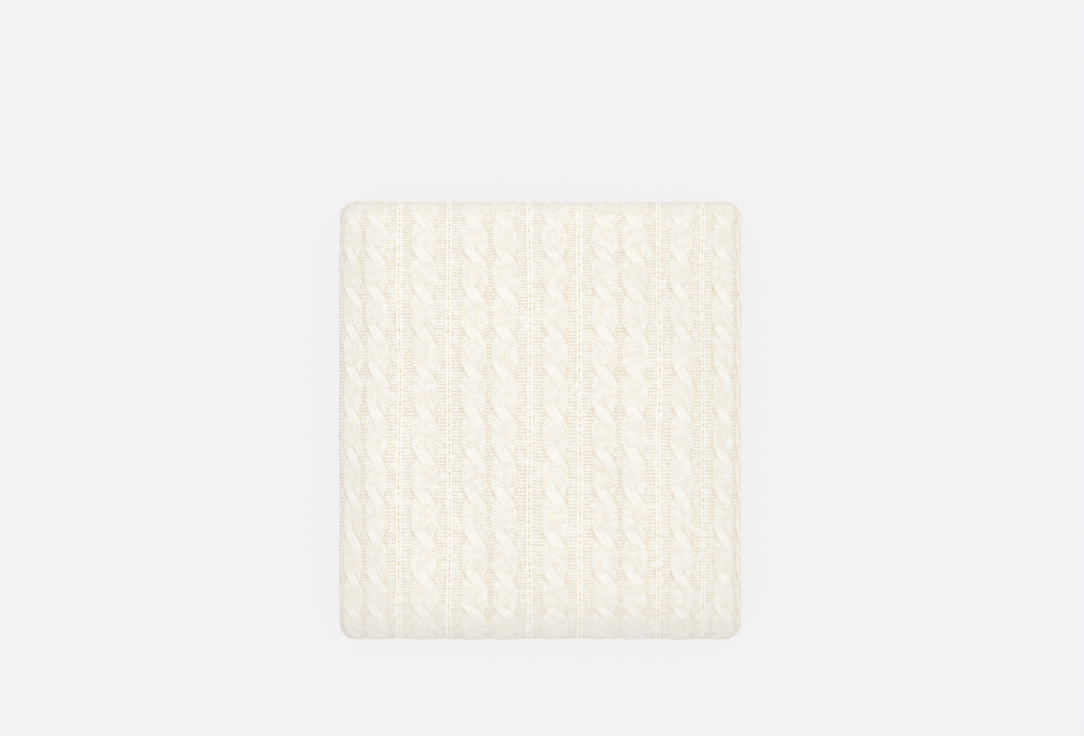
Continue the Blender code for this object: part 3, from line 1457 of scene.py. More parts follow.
class NodeSheet:
    """A short way to add nodes and links to one node tree."""

    def __init__(self, tree: bpy.types.NodeTree) -> None:
        """Keeps the tree of a material or a group."""
        self.tree = tree

    def add(self, kind: str, **values: object) -> bpy.types.Node:
        """Adds a node.

        Args:
            kind: the node's type.
            **values: its own settings.

        Returns:
            The new node.
        """
        node = self.tree.nodes.new(kind)
        for key, value in values.items():
            setattr(node, key, value)
        return node

    def link(self, source: bpy.types.NodeSocket, target: bpy.types.NodeSocket) -> None:
        """Links an output to an input."""
        self.tree.links.new(source, target)

    def feed(self, node: bpy.types.Node, **sources: object) -> bpy.types.Node:
        """Sets or links a node's inputs.

        Args:
            node: the node.
            **sources: a value or an output for each input, named with underscores for spaces.

        Returns:
            The node.
        """
        for key, source in sources.items():
            socket = node.inputs[key.replace("_", " ")]
            if isinstance(source, bpy.types.NodeSocket):
                self.link(source, socket)
            else:
                socket.default_value = source
        return node

    def math(self, operation: str, first: object, second: object = 0.0) -> bpy.types.NodeSocket:
        """One arithmetic step.

        Args:
            operation: the math node's operation.
            first: a value or an output.
            second: the same.

        Returns:
            The result's socket.
        """
        node = self.add("ShaderNodeMath", operation=operation)
        for socket, source in zip(node.inputs, (first, second)):
            if isinstance(source, bpy.types.NodeSocket):
                self.link(source, socket)
            else:
                socket.default_value = source
        return node.outputs[0]

    def scaled(self, value: object, scale: float, offset: float) -> bpy.types.NodeSocket:
        """A straight change of a value.

        Args:
            value: a value or an output.
            scale: what it is multiplied by.
            offset: what is added after that.

        Returns:
            The result's socket.
        """
        result = self.math("MULTIPLY_ADD", value, scale)
        result.node.inputs[2].default_value = offset
        return result

    def times(self, first: object, second: object) -> bpy.types.NodeSocket:
        """The product of two values or outputs."""
        return self.math("MULTIPLY", first, second)

    def noise(self, vector: bpy.types.NodeSocket, **values: float) -> bpy.types.NodeSocket:
        """Noise between 0 and 1 over a vector, with the noise node's own inputs by name."""
        return self.feed(self.add("ShaderNodeTexNoise"), Vector=vector, **values).outputs["Fac"]

    def bands(self, vector: bpy.types.NodeSocket, direction: str, **values: float) -> bpy.types.NodeSocket:
        """Bands between 0 and 1 over a vector, with the wave node's own inputs by name."""
        node = self.add("ShaderNodeTexWave", wave_type="BANDS", bands_direction=direction)
        return self.feed(node, Vector=vector, **values).outputs["Fac"]

    def ramp(self, value: object, start: float, end: float) -> bpy.types.NodeSocket:
        """A smooth step from 0 to 1.

        Args:
            value: a value or an output.
            start: where the result is still 0; it may be above end.
            end: where it is 1.

        Returns:
            The result's socket.
        """
        node = self.add("ShaderNodeMapRange", interpolation_type="SMOOTHSTEP")
        self.feed(node, Value=value, From_Min=start, From_Max=end)
        return node.outputs["Result"]

    def mix(self, share: object, first: object, second: object) -> bpy.types.NodeSocket:
        """A value between two others.

        Args:
            share: how much of the second.
            first: a value or an output.
            second: the same.

        Returns:
            The result's socket.
        """
        node = self.add("ShaderNodeMix", data_type="FLOAT")
        self.feed(node, Factor=share, A=first, B=second)
        return node.outputs["Result"]

    def mix_colour(self, share: object, first: object, second: object) -> bpy.types.NodeSocket:
        """A colour between two others.

        Args:
            share: how much of the second.
            first: an output.
            second: the same.

        Returns:
            The result's socket.
        """
        node = self.add("ShaderNodeMix", data_type="RGBA")
        named = {socket.identifier: socket for socket in node.inputs}
        self.link(share, named["Factor_Float"])
        self.link(first, named["A_Color"])
        self.link(second, named["B_Color"])
        return next(socket for socket in node.outputs if socket.identifier == "Result_Color")


def new_group(name: str, inputs: dict[str, str], outputs: dict[str, str]) -> bpy.types.NodeTree:
    """A shader node group with named sockets.

    Args:
        name: the group's name.
        inputs: socket name to socket type.
        outputs: the same for the results.

    Returns:
        The group's tree, with its input and output nodes in it.
    """
    group = bpy.data.node_groups.new(name, "ShaderNodeTree")
    for label, kind in inputs.items():
        group.interface.new_socket(name=label, in_out="INPUT", socket_type=kind)
    for label, kind in outputs.items():
        group.interface.new_socket(name=label, in_out="OUTPUT", socket_type=kind)
    group.nodes.new("NodeGroupInput")
    group.nodes.new("NodeGroupOutput")
    return group


def group_ends(group: bpy.types.NodeTree) -> tuple[bpy.types.Node, bpy.types.Node]:
    """A group's input node and its output node."""
    return group.nodes["Group Input"], group.nodes["Group Output"]


class StitchShapes:
    """The stitches in a node tree, each as a height and a mask of the holes and creases where shade is
    painted, both 0 to 1.
    """

    def __init__(self, sheet: NodeSheet, wale: bpy.types.NodeSocket, course: bpy.types.NodeSocket) -> None:
        """Keeps the tree and works out the waves that several stitches share.

        Args:
            sheet: the tree.
            wale: the wale at each point; whole numbers lie between wales.
            course: the course.
        """
        self.sheet = sheet
        self.wale = wale
        self.course = course
        self.wale_wave = self.wave(wale, 1.0)
        self.folded = sheet.math("PINGPONG", wale, 0.5)

    def wave(self, value: object, rate: float) -> bpy.types.NodeSocket:
        """A cosine wave with so many crests for each unit of value."""
        return self.sheet.math("COSINE", self.sheet.times(value, 2 * math.pi * rate))

    def tube(self, value: object, rate: float) -> bpy.types.NodeSocket:
        """Round tubes side by side, with sharp creases between them and a crest at 0."""
        arch = self.sheet.math("ABSOLUTE", self.wave(value, rate / 2))
        return self.sheet.math("POWER", arch, 0.6)

    def knit(self) -> tuple[bpy.types.NodeSocket, bpy.types.NodeSocket]:
        """Knit stitches: two leaning legs for each stitch, with holes at both ends of each leg.

        Returns:
            Their height and the mask of the shade painted into their holes and the creases between legs.
        """
        sheet = self.sheet
        lattice = sheet.times(self.wale_wave, self.wave(self.course, 1.0))
        leg = sheet.math("SUBTRACT", self.course, sheet.times(self.folded, 3.0))
        legs = self.tube(sheet.math("ADD", leg, 0.5), 1.0)
        pit = sheet.ramp(lattice, -0.1, 1.0)
        height = sheet.math("SUBTRACT", sheet.times(legs, 0.42), sheet.times(pit, 0.30))
        crease = sheet.times(sheet.ramp(legs, 0.75, 0.15), 0.25)
        return height, sheet.math("MAXIMUM", sheet.ramp(lattice, 0.28, 0.90), crease)

    def drawn(self) -> tuple[bpy.types.NodeSocket, bpy.types.NodeSocket]:
        """Knit stitches drawn long where two strands cross.

        Returns:
            Their height and the mask of the shade painted into the creases between their legs.
        """
        sheet = self.sheet
        legs = self.tube(sheet.math("ADD", self.wale, 0.25), 2.0)
        leaning = sheet.math("ADD", self.course, sheet.times(self.wale, 1.5))
        overlap = sheet.times(self.wave(leaning, 1.0), 0.1)
        hole = sheet.times(sheet.ramp(legs, 0.7, 0.1), 0.5)
        return sheet.math("ADD", sheet.times(legs, 0.6), overlap), hole

    def purl(self) -> tuple[bpy.types.NodeSocket, bpy.types.NodeSocket]:
        """Purl stitches: interlocking arcs, open where they rise and fall.

        Returns:
            Their height and the mask of the shade painted into their holes.
        """
        sheet = self.sheet
        line = sheet.math("ADD", self.course, sheet.times(self.wale_wave, 0.26))
        arcs = self.tube(line, 1.0)
        crests = sheet.times(self.wale_wave, 0.12)
        steep = sheet.math("ABSOLUTE", self.wave(sheet.math("ADD", self.wale, 0.25), 1.0))
        opening = sheet.scaled(steep, 1.0, 0.2)
        hole = sheet.times(sheet.ramp(arcs, 0.85, 0.35), opening)
        height = sheet.math("ADD", sheet.times(arcs, 0.55), crests)
        return sheet.math("SUBTRACT", height, sheet.times(hole, 0.25)), hole

    def slipped(self) -> tuple[bpy.types.NodeSocket, bpy.types.NodeSocket]:
        """A slipped rib's long stitches, open in the middle every second course.

        Returns:
            Their height and the mask of the shade painted into their holes, creases and sides.
        """
        sheet = self.sheet
        from_middle = sheet.math("ABSOLUTE", self.wale)
        middle = sheet.ramp(from_middle, 0.20, 0.06)
        opening = sheet.times(middle, sheet.ramp(self.wave(self.course, 0.5), -0.3, 0.5))
        leaning = sheet.math("SUBTRACT", self.course, sheet.times(from_middle, 1.6))
        links = self.tube(sheet.times(leaning, 0.5), 1.0)
        crease = sheet.times(sheet.ramp(links, 0.7, 0.1), 0.30)
        side = sheet.times(sheet.ramp(from_middle, 0.52, 0.70), 0.45)
        hole = sheet.math("MAXIMUM", opening, sheet.math("MAXIMUM", crease, side))
        height = sheet.scaled(links, 0.5, 0.3)
        return sheet.math("SUBTRACT", height, sheet.times(middle, 0.4)), hole


def stitch_group() -> bpy.types.NodeTree:
    """Stitches from their own coordinates: the motif picks which, with a smooth change between two.

    Returns:
        The group, which gives the stitches' height and the mask of the shade painted into their holes.
    """
    group = new_group(
        "Stitches",
        {"Knitting": "NodeSocketVector", "Motif": "NodeSocketFloat"},
        {"Height": "NodeSocketFloat", "Hole": "NodeSocketFloat"},
    )
    sheet = NodeSheet(group)
    given, result = group_ends(group)
    place = sheet.add("ShaderNodeSeparateXYZ")
    sheet.link(given.outputs["Knitting"], place.inputs["Vector"])
    shapes = StitchShapes(sheet, place.outputs["X"], place.outputs["Y"])
    motif = given.outputs["Motif"]
    height, hole = shapes.knit()
    changes = (
        (shapes.drawn(), -0.15, -0.75),
        (shapes.purl(), 0.25, 0.75),
        (shapes.slipped(), 1.25, 1.75),
    )
    for (other_height, other_hole_shade), start, end in changes:
        share = sheet.ramp(motif, start, end)
        height = sheet.mix(share, height, other_height)
        hole = sheet.mix(share, hole, other_hole_shade)
    sheet.link(height, result.inputs["Height"])
    sheet.link(hole, result.inputs["Hole"])
    return group


def yarn_tone_and_shade_group() -> bpy.types.NodeTree:
    """Colour of a yarn: its crest colour, with shade painted into creases and into the holes between
    stitches, and slow and fine unevenness.

    Returns:
        The group, which gives a colour.
    """
    group = new_group(
        "Yarn tone",
        {
            "Vector": "NodeSocketVector",
            "Hollow": "NodeSocketFloat",
            "Hole": "NodeSocketFloat",
            "Crest colour": "NodeSocketColor",
            "Hollow colour": "NodeSocketColor",
            "Hole colour": "NodeSocketColor",
        },
        {"Colour": "NodeSocketColor"},
    )
    sheet = NodeSheet(group)
    given, result = group_ends(group)
    place = given.outputs["Vector"]
    slow = sheet.noise(place, Scale=14.0, Detail=3.0, Roughness=0.55)
    fine = sheet.noise(place, Scale=420.0, Detail=2.0, Roughness=0.6)
    patchy = sheet.noise(place, Scale=160.0, Detail=1.0)
    # Painted shade in the holes between stitches, on a patchy share of them.
    open_hole_shade = sheet.times(given.outputs["Hole"], sheet.ramp(patchy, 0.2, 0.7))
    # Painted shade in creases.
    crease_shaded = sheet.mix_colour(
        given.outputs["Hollow"], given.outputs["Crest colour"], given.outputs["Hollow colour"]
    )
    shaded_colour = sheet.mix_colour(open_hole_shade, crease_shaded, given.outputs["Hole colour"])
    shade = sheet.times(sheet.scaled(slow, 0.04, 0.98), sheet.scaled(fine, 0.08, 0.96))
    toned = sheet.add("ShaderNodeHueSaturation")
    sheet.feed(toned, Value=shade, Color=shaded_colour)
    sheet.link(toned.outputs["Color"], result.inputs["Colour"])
    return group


def yarn_bump_group() -> bpy.types.NodeTree:
    """Normal of a yarn: its stitches, the twist of its plies and its loose fibres.

    Returns:
        The group, which gives a normal.
    """
    group = new_group(
        "Yarn bump",
        {
            "Stitch height": "NodeSocketFloat",
            "Knitting": "NodeSocketVector",
            "Vector": "NodeSocketVector",
            "Depth": "NodeSocketFloat",
            "Twist": "NodeSocketFloat",
            "Fuzz": "NodeSocketFloat",
        },
        {"Normal": "NodeSocketVector"},
    )
    sheet = NodeSheet(group)
    given, result = group_ends(group)
    stretched = sheet.add("ShaderNodeMapping", vector_type="POINT")
    sheet.feed(stretched, Vector=given.outputs["Knitting"], Scale=(8.0, 3.2, 1.0))
    stretched.inputs["Rotation"].default_value = (0.0, 0.0, math.radians(20))
    twist = sheet.bands(stretched.outputs["Vector"], "DIAGONAL", Scale=0.35, Distortion=1.2, Detail=1.0)
    fibres = sheet.noise(given.outputs["Vector"], Scale=1500.0, Detail=2.0, Roughness=0.65)
    stitch_part = sheet.times(given.outputs["Stitch height"], given.outputs["Depth"])
    twist_part = sheet.times(twist, given.outputs["Twist"])
    fibre_part = sheet.times(fibres, given.outputs["Fuzz"])
    height = sheet.math("ADD", stitch_part, sheet.math("ADD", twist_part, fibre_part))
    bump = sheet.add("ShaderNodeBump")
    sheet.feed(bump, Height=height, Strength=1.0, Distance=1.0)
    sheet.link(bump.outputs["Normal"], result.inputs["Normal"])
    return group


class Wardrobe:
    """Makes every material once."""

    def __init__(self) -> None:
        """Makes the shared node groups and the materials."""
        self.stitches = stitch_group()
        self.tone = yarn_tone_and_shade_group()
        self.bump = yarn_bump_group()
        self.knit = self._yarn(CREAM_YARN)
        self.thread = self._yarn(LABEL_THREAD)
        self.satin = self._satin()
        self.floor = self._floor()

    @staticmethod
    def _material(name: str) -> tuple[bpy.types.Material, NodeSheet, bpy.types.Node, bpy.types.NodeSocket]:
        """Starts a material.

        Args:
            name: its name.

        Returns:
            The material, its tree, its shader and its Object coordinates.
        """
        material = bpy.data.materials.new(name)
        material.use_nodes = True
        sheet = NodeSheet(material.node_tree)
        place = sheet.add("ShaderNodeTexCoord").outputs["Object"]
        return material, sheet, material.node_tree.nodes["Principled BSDF"], place

    @staticmethod
    def _group(sheet: NodeSheet, group: bpy.types.NodeTree) -> bpy.types.Node:
        """Adds a group to a material.

        Args:
            sheet: the material's tree.
            group: the group's tree.

        Returns:
            The new node.
        """
        node = sheet.add("ShaderNodeGroup")
        node.node_tree = group
        return node

    def _yarn(self, finish: YarnFinish) -> bpy.types.Material:
        """A knitted or sewn yarn.

        Args:
            finish: the look of the yarn.

        Returns:
            The material.
        """
        material, sheet, shader, place = self._material(finish.name)
        knitting = sheet.add("ShaderNodeUVMap", uv_map="knitting")
        # Mask of the shade painted into creases.
        hollow = sheet.add("ShaderNodeAttribute", attribute_name="hollow")
        motif = sheet.add("ShaderNodeAttribute", attribute_name="motif")
        stitches = self._group(sheet, self.stitches)
        sheet.feed(stitches, Knitting=knitting.outputs["UV"], Motif=motif.outputs["Fac"])
        tone = self._group(sheet, self.tone)
        # The crest colour is the yarn's own; the other two colours are painted shade, in creases and in the
        # holes between stitches.
        sheet.feed(
            tone,
            Vector=place,
            Hollow=hollow.outputs["Fac"],
            Hole=stitches.outputs["Hole"],
            Crest_colour=(*finish.crest, 1.0),
            Hollow_colour=(*finish.hollow, 1.0),
            Hole_colour=(*finish.hole, 1.0),
        )
        bump = self._group(sheet, self.bump)
        sheet.feed(
            bump,
            Stitch_height=stitches.outputs["Height"],
            Knitting=knitting.outputs["UV"],
            Vector=place,
            Depth=finish.stitch,
            Twist=finish.twist,
            Fuzz=finish.fuzz,
        )
        rough = sheet.scaled(sheet.noise(place, Scale=60.0, Detail=2.0), 0.12, finish.roughness - 0.06)
        sheet.feed(
            shader,
            Base_Color=tone.outputs["Colour"],
            Roughness=rough,
            Normal=bump.outputs["Normal"],
            Specular_IOR_Level=0.25,
            Sheen_Weight=finish.sheen,
            Sheen_Roughness=0.55,
        )
        return material

    def _satin(self) -> bpy.types.Material:
        """The label's woven satin ribbon.

        Returns:
            The material.
        """
        material, sheet, shader, place = self._material("label_satin")
        weave = sheet.bands(place, "X", Scale=900.0, Distortion=0.4)
        cross = sheet.bands(place, "Z", Scale=620.0, Distortion=0.4)
        height = sheet.math("ADD", weave, cross)
        bump = sheet.add("ShaderNodeBump")
        sheet.feed(bump, Height=height, Strength=0.35, Distance=0.00008)
        uneven = sheet.noise(place, Scale=180.0, Detail=3.0)
        tone = sheet.add("ShaderNodeMix", data_type="RGBA")
        named = {socket.identifier: socket for socket in tone.inputs}
        sheet.link(uneven, named["Factor_Float"])
        named["A_Color"].default_value = (0.80, 0.79, 0.75, 1.0)
        named["B_Color"].default_value = (0.88, 0.87, 0.83, 1.0)
        rough = sheet.scaled(uneven, 0.15, 0.32)
        sheet.feed(
            shader,
            Base_Color=tone.outputs[2],
            Roughness=rough,
            Normal=bump.outputs["Normal"],
            Sheen_Weight=0.15,
        )
        return material

    def _floor(self) -> bpy.types.Material:
        """A plain pale studio floor that glows softly, so that the shadow on it is faint.

        Returns:
            The material.
        """
        material, sheet, shader, place = self._material("studio_floor")
        rough = sheet.scaled(sheet.noise(place, Scale=2.0, Detail=2.0), 0.05, 0.9)
        sheet.feed(
            shader,
            Base_Color=(0.06, 0.06, 0.06, 1.0),
            Roughness=rough,
            Specular_IOR_Level=0.0,
            Emission_Color=(1.0, 1.0, 1.0, 1.0),
            Emission_Strength=0.823,
        )
        return material


# ---------------------------------------------------------------------------
# The sub-assemblies
# ---------------------------------------------------------------------------


def dress(piece: bpy.types.Object, material: bpy.types.Material) -> None:
    """Gives a piece its one material.

    Args:
        piece: the piece.
        material: its material.
    """
    piece.data.materials.clear()
    piece.data.materials.append(material)


def report(piece: bpy.types.Object, what: str) -> None:
    """Logs one finished piece, with its kind in words."""
    log.info("%s: %s, %d faces", what, piece.name, len(piece.data.polygons))


@dataclass
class KnittedFace:
    """The right side of one leaf or roll, cut into strips along grooves or channels.

    Attributes:
        part: the leaf or roll.
        start: arc length along the strip at its front or lower end.
        step: 1 where the strip runs away from that end, -1 where it runs towards it.
        fineness: grid cells for each wale and each course.
        strips: how many pieces it is cut into.
        node: the CAD node that it stands for.
        body: the body it rides on, or None where it bends between the two halves.
        least_length: the flat length of a roll so tight that its relief is longer than its face.
    """

    part: Stretch | Turn
    start: float
    step: int
    fineness: tuple[int, int]
    strips: int
    node: str
    body: Body | None
    least_length: float = 0.0

    def make(self, throw: FoldedThrow, wardrobe: Wardrobe) -> list[bpy.types.Object]:
        """Makes the pieces.

        Args:
            throw: the folded throw's geometry.
            wardrobe: the materials.

        Returns:
            The new pieces.
        """
        grid = throw.lay(self.part, self.start, self.step, self.fineness)
        pieces = []
        cuts = self._cuts(throw, grid)
        for index, (first, last) in enumerate(zip(cuts, cuts[1:])):
            name = f"{self.part.name}_knit_{index + 1}"
            strip = grid.strip(first, last)
            piece = strip.make(name)
            dress(piece, wardrobe.knit)
            place_on(piece, self.body)
            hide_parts(self.node)
            edges = throw.across_from_cloth(strip.across[[0, -1]])
            width = float(abs(edges[1] - edges[0]))
            length = max(self.part.length, self.least_length)
            area = sum(face.area for face in piece.data.polygons) if self.least_length else width * length
            area = min(area, width * length)
            report(piece, "knitted face")
            pieces.append(piece)
        return pieces

    def _cuts(self, throw: FoldedThrow, grid: ClothGrid) -> list[int]:
        """Where the face is cut: the middles of the purl channels nearest to even shares.

        Args:
            throw: the folded throw's geometry.
            grid: the face's grid.

        Returns:
            Column indexes, with the first and the last among them.
        """
        channels = [b.middle for b in throw.pattern.bands if b.motif in (Motif.PURL, Motif.GROOVE)]
        cuts = [0]
        for share in range(1, self.strips):
            wanted = grid.across[0] + (grid.across[-1] - grid.across[0]) * share / self.strips
            channel = min(channels, key=lambda place: abs(place - wanted))
            cuts.append(int(np.argmin(np.abs(grid.across - channel))))
        cuts.append(len(grid.across) - 1)
        return cuts


def place_on(piece: bpy.types.Object, body: Body | None) -> None:
    """Makes a piece ride on a body, or, for a piece at the last fold, bakes its place into its mesh.

    Args:
        piece: the piece.
        body: the body, or None for a piece that bends.
    """
    if body is not None:
        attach(piece, body.value)
        return
    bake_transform(piece)


@dataclass
class FoldedThirds:
    """The two plies that are folded over the middle third, in one leaf or roll."""

    part: Stretch | Turn
    node: str
    body: Body | None
    row_spacing: float = 0.0019
    hidden_spacing: float = 0.012
    free_setback: float = 0.006
    end_gap: float = 0.0002
    chain_depth: float = 0.0014
    clearance: float = 0.0002
    least_length: float = 0.012

    def make(self, throw: FoldedThrow, wardrobe: Wardrobe) -> list[bpy.types.Object]:
        """Makes both plies as closed sheets.

        Args:
            throw: the folded throw's geometry.
            wardrobe: the materials.

        Returns:
            The new pieces.
        """
        section = throw.section
        ply, gap = section.ply, section.gap
        free_x = throw.low.x + self.free_setback + ply / 2
        over = third_outline(section, free_x, section.right_x, 2.5 * ply + 2 * gap)
        tucked = third_outline(section, section.right_x, section.left_x, 1.5 * ply + gap)
        pieces = []
        for label, outline in (("right_third", over), ("left_third", tucked)):
            spacing = self.row_spacing if label == "right_third" else self.hidden_spacing
            pieces.append(self._make_ply(throw, wardrobe, label, outline, spacing))
        return pieces

    def _make_ply(
        self, throw: FoldedThrow, wardrobe: Wardrobe, label: str, outline: Grid, spacing: float
    ) -> bpy.types.Object:
        """One ply, with the chain of its selvedge along the free edge.

        Args:
            throw: the folded throw's geometry.
            wardrobe: the materials.
            label: the ply's part of the piece's name.
            outline: its closed outline.
            spacing: about how far apart its rows are.

        Returns:
            The new piece.
        """
        ply = throw.section.ply
        normal = outline_normals(outline)
        length = max(self.part.length, math.pi * ply if isinstance(self.part, Turn) else 0.0)
        steps = max(12, round(length / spacing))
        start = self.end_gap if isinstance(self.part, Stretch) else 0.0
        distance = np.linspace(start, self.part.length, steps + 1)
        x = outline[:, 0]
        depth = outline[:, 1]
        base = self.part.place(distance, x, depth)
        nudged = self.part.place(distance, x + normal[:, 0] * 1e-4, depth + normal[:, 1] * 1e-4)
        outward = (nudged - base) / 1e-4
        base = throw.soft.soften(base)
        free_end = outline[np.argmin(x)] if label == "right_third" else outline[np.argmax(x)]
        near_edge = bell(x - free_end[0], 0.8 * ply)[:, None]
        chain = ripple(distance / (2 * GAUGE.course))[None, :]
        sunk = near_edge * (self.chain_depth * chain) + self.clearance
        points = base - outward * sunk[..., None]
        name = f"{self.part.name}_{label}"
        # Shade is painted into the dips of the selvedge chain.
        piece = make_closed_band(name, points, np.clip(near_edge * chain, 0, 1) * 0.4, Motif.PURL)
        dress(piece, wardrobe.knit)
        place_on(piece, self.body)
        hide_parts(self.node)
        report(piece, "folded third")
        return piece


@dataclass
class HemBand:
    """One end band of the panel, in all three plies, with the bound-off chain along its ends."""

    leaf: Stretch
    node: str
    name: str
    spacing: float = 0.00155
    free_setback: float = 0.006
    overlap: float = 0.0022
    tuck: float = 0.0026
    ridge_depth: float = 0.0009
    wave_depth: float = 0.0008
    end_wave: float = 0.0007

    def make(self, throw: FoldedThrow, wardrobe: Wardrobe) -> bpy.types.Object:
        """Makes the hem as one closed piece.

        Args:
            throw: the folded throw's geometry.
            wardrobe: the materials.

        Returns:
            The new piece.
        """
        section = throw.section
        low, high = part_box(self.node)
        start = low[1] - self.overlap
        length = high[1] - start
        free_x = throw.low.x + self.free_setback + section.ply / 2
        outline = thirds_outline(section, free_x, self.spacing)
        normal = outline_normals(outline)
        half = section.ply / 2
        body_rows = np.linspace(0, length - half, 18)[:-1]
        nose_angle = np.linspace(0, math.pi / 2, 9)
        nose_rows = length - half + half * np.sin(nose_angle)
        rows = np.concatenate([body_rows, nose_rows])
        past = np.clip((rows - (length - half)) / half, 0, 1)
        inset = half * (1 - np.sqrt(np.maximum(1 - past**2, 0.02)))
        ridge = ripple(rows / (2 * GAUGE.course))
        wave = ripple(outline[:, 0] / GAUGE.wale)
        waves = self.wave_depth * wave[:, None] * (0.4 + 0.6 * past[None, :])
        sunk = self.ridge_depth * ridge[None, :] + waves
        tuck = self.tuck * np.clip(1 - rows / (1.6 * self.overlap), 0, 1)
        total = np.minimum((inset + tuck)[None, :] + sunk, 0.86 * half)
        points = np.empty((len(outline), len(rows), 3))
        points[..., 0] = outline[:, 0][:, None] - normal[:, 0][:, None] * total
        depth = outline[:, 1][:, None] - normal[:, 1][:, None] * total
        points[..., 1] = start + rows[None, :]
        points[..., 1] -= self.end_wave * wave[:, None] * past[None, :]
        points[..., 2] = self.leaf.face + self.leaf.inward * depth
        soft = throw.soft.soften(points)
        # Shade is painted into the hem's ridges and waves.
        piece = make_closed_band(self.name, soft, np.clip(sunk / 0.0016, 0, 1) * 0.35, Motif.PURL)
        dress(piece, wardrobe.knit)
        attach(piece, Body.LOWER.value)
        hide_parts(self.node)
        report(piece, "hem")
        return piece


@dataclass
class CareLabel:
    """The blank satin label: a ribbon folded in two, hanging from the hem."""

    curl: float = 0.0012
    columns: int = 30
    rows: int = 60

    def make(self, wardrobe: Wardrobe) -> bpy.types.Object:
        """Makes the label as one looped ribbon.

        Args:
            wardrobe: the materials.

        Returns:
            The new piece.
        """
        low, high = (np.array(corner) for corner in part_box("care_label"))
        width, drop = high[0] - low[0], high[2] - low[2]
        half = (high[1] - low[1]) / 2 - 0.0001
        bm = bmesh.new()
        bmesh.ops.create_grid(bm, x_segments=self.columns, y_segments=self.rows, size=1.0)
        for vert in bm.verts:
            share = (vert.co.y + 1) / 2
            down = 1 - abs(2 * share - 1)
            side = math.copysign(1, share - 0.5)
            opening = half * math.sqrt(max(1 - max(0.0, (down - 0.94) / 0.06) ** 2, 0.0))
            across = (vert.co.x + 1) / 2
            bend = self.curl * down**2 * (0.6 + 0.8 * (across - 0.5) ** 2 * 4)
            x = low[0] + width * across
            y = (low[1] + high[1]) / 2 + side * opening * (0.6 + 0.4 * down) + bend
            vert.co = (x, y, high[2] - drop * down)
        mesh = mesh_from(bm, "care_label_ribbon")
        mesh.shade_smooth()
        piece = linked("care_label_ribbon", mesh)
        dress(piece, wardrobe.satin)
        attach(piece, Body.LABEL.value)
        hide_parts("care_label")
        report(piece, "label")
        return piece


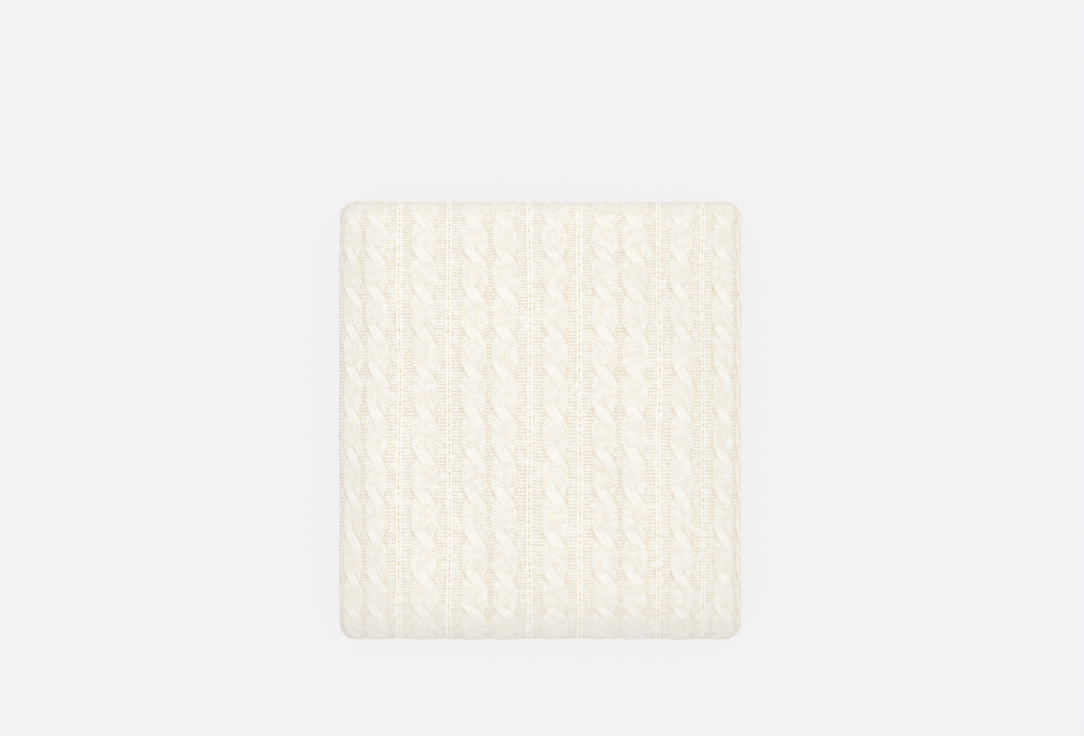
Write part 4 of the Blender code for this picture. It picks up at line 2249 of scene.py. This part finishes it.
@dataclass
class Studio:
    """The floor, the light and the camera."""

    floor_size: float = 6.0
    floor_level: float = -0.0005
    lens: float = 100.0
    sensor: float = 36.0
    view_width: float = 1.1590
    aim_x: float = 0.0024
    aim_y: float = 0.0563
    camera_level: float = 0.07

    def make(self, wardrobe: Wardrobe) -> None:
        """Makes everything round the object.

        Args:
            wardrobe: the materials.
        """
        self._floor(wardrobe)
        self._light()
        self._camera()
        bpy.context.scene.view_settings.view_transform = "Standard"

    def _floor(self, wardrobe: Wardrobe) -> None:
        """Makes the floor, just under the throw.

        Args:
            wardrobe: the materials.
        """
        bm = bmesh.new()
        bmesh.ops.create_grid(bm, x_segments=1, y_segments=1, size=self.floor_size / 2)
        mesh = mesh_from(bm, "studio_floor")
        mesh.materials.append(wardrobe.floor)
        floor = linked("studio_floor", mesh)
        floor.location = (0.0, 0.0, self.floor_level)

    def _light(self) -> None:
        """Lights the throw evenly from all round, with two weak lamps for shape."""
        world = bpy.data.worlds.new("studio")
        bpy.context.scene.world = world
        world.use_nodes = True
        backdrop = world.node_tree.nodes["Background"]
        backdrop.inputs["Color"].default_value = (1.0, 1.0, 1.0, 1.0)
        backdrop.inputs["Strength"].default_value = 0.98
        self._soft_box("key", (0.55, 0.75, 1.9), 1.6, 5.0)
        self._soft_box("fill", (-0.9, 0.2, 1.9), 1.8, 3.0)

    def _soft_box(self, name: str, location: tuple[float, float, float], size: float, power: float) -> None:
        """Makes one square lamp that points at the origin.

        Args:
            name: the lamp's name.
            location: where it hangs.
            size: its side, in metres.
            power: its power, in watts.
        """
        lamp = bpy.data.lights.new(name, "AREA")
        lamp.shape = "SQUARE"
        lamp.size = size
        lamp.energy = power
        holder = linked(name, lamp)
        holder.location = location
        holder.rotation_euler = (-Vector(location)).to_track_quat("-Z", "Y").to_euler()

    def _camera(self) -> None:
        """Puts the camera straight above the throw."""
        data = bpy.data.cameras.new("camera")
        data.lens = self.lens
        data.sensor_width = self.sensor
        data.sensor_fit = "HORIZONTAL"
        distance = self.view_width * self.lens / self.sensor
        camera = linked("camera", data)
        camera.location = (self.aim_x, self.aim_y, self.camera_level + distance)
        bpy.context.scene.camera = camera


# ---------------------------------------------------------------------------
# Putting it together
# ---------------------------------------------------------------------------


def knitted_faces(throw: FoldedThrow) -> list[KnittedFace]:
    """Every leaf and roll of the strip, in order, with the fineness each one needs.

    Args:
        throw: the folded throw's geometry.

    Returns:
        The faces to knit.
    """
    show, plain = (5, 4), (3, 3)
    after_outer = throw.outer.length
    after_4 = after_outer + throw.leaf_4.length
    after_back = after_4 + throw.back.length
    after_3 = after_back + throw.leaf_3.length
    after_inner = after_3 + throw.inner.length
    lower, upper = Body.LOWER, Body.UPPER
    return [
        KnittedFace(throw.leaf_1, 0.0, -1, plain, 2, "leaf_1_bottom", lower),
        KnittedFace(throw.outer, 0.0, 1, show, 2, "fold_outer_front", None),
        KnittedFace(throw.leaf_4, after_outer, 1, show, 4, "leaf_4_top", upper),
        KnittedFace(throw.back, after_back, -1, show, 1, "fold_back_upper", upper),
        KnittedFace(throw.leaf_3, after_3, -1, plain, 2, "leaf_3_upper_inner", upper),
        KnittedFace(throw.inner, after_inner, -1, plain, 1, "fold_inner_front", None, 0.012),
        KnittedFace(throw.leaf_2, after_inner, 1, plain, 2, "leaf_2_lower_inner", lower),
    ]


def make_throw(wardrobe: Wardrobe) -> None:
    """Makes every piece of the throw.

    Args:
        wardrobe: the materials.
    """
    throw = FoldedThrow()
    faces = knitted_faces(throw)
    for face in faces:
        face.make(throw, wardrobe)
    for face in faces:
        FoldedThirds(face.part, face.node, face.body).make(throw, wardrobe)
    HemBand(throw.leaf_1, "hem_cast_on", "cast_on_hem").make(throw, wardrobe)
    HemBand(throw.leaf_2, "hem_bind_off", "bind_off_hem").make(throw, wardrobe)
    CareLabel().make(wardrobe)
    tack = frame["nodes"]["care_label_stitching"]
    tack.data.materials.clear()
    tack.data.materials.append(wardrobe.thread)


def main() -> None:
    """Makes the throw and its studio."""
    wardrobe = Wardrobe()
    make_throw(wardrobe)
    Studio().make(wardrobe)


if __name__ == "__main__":
    main()
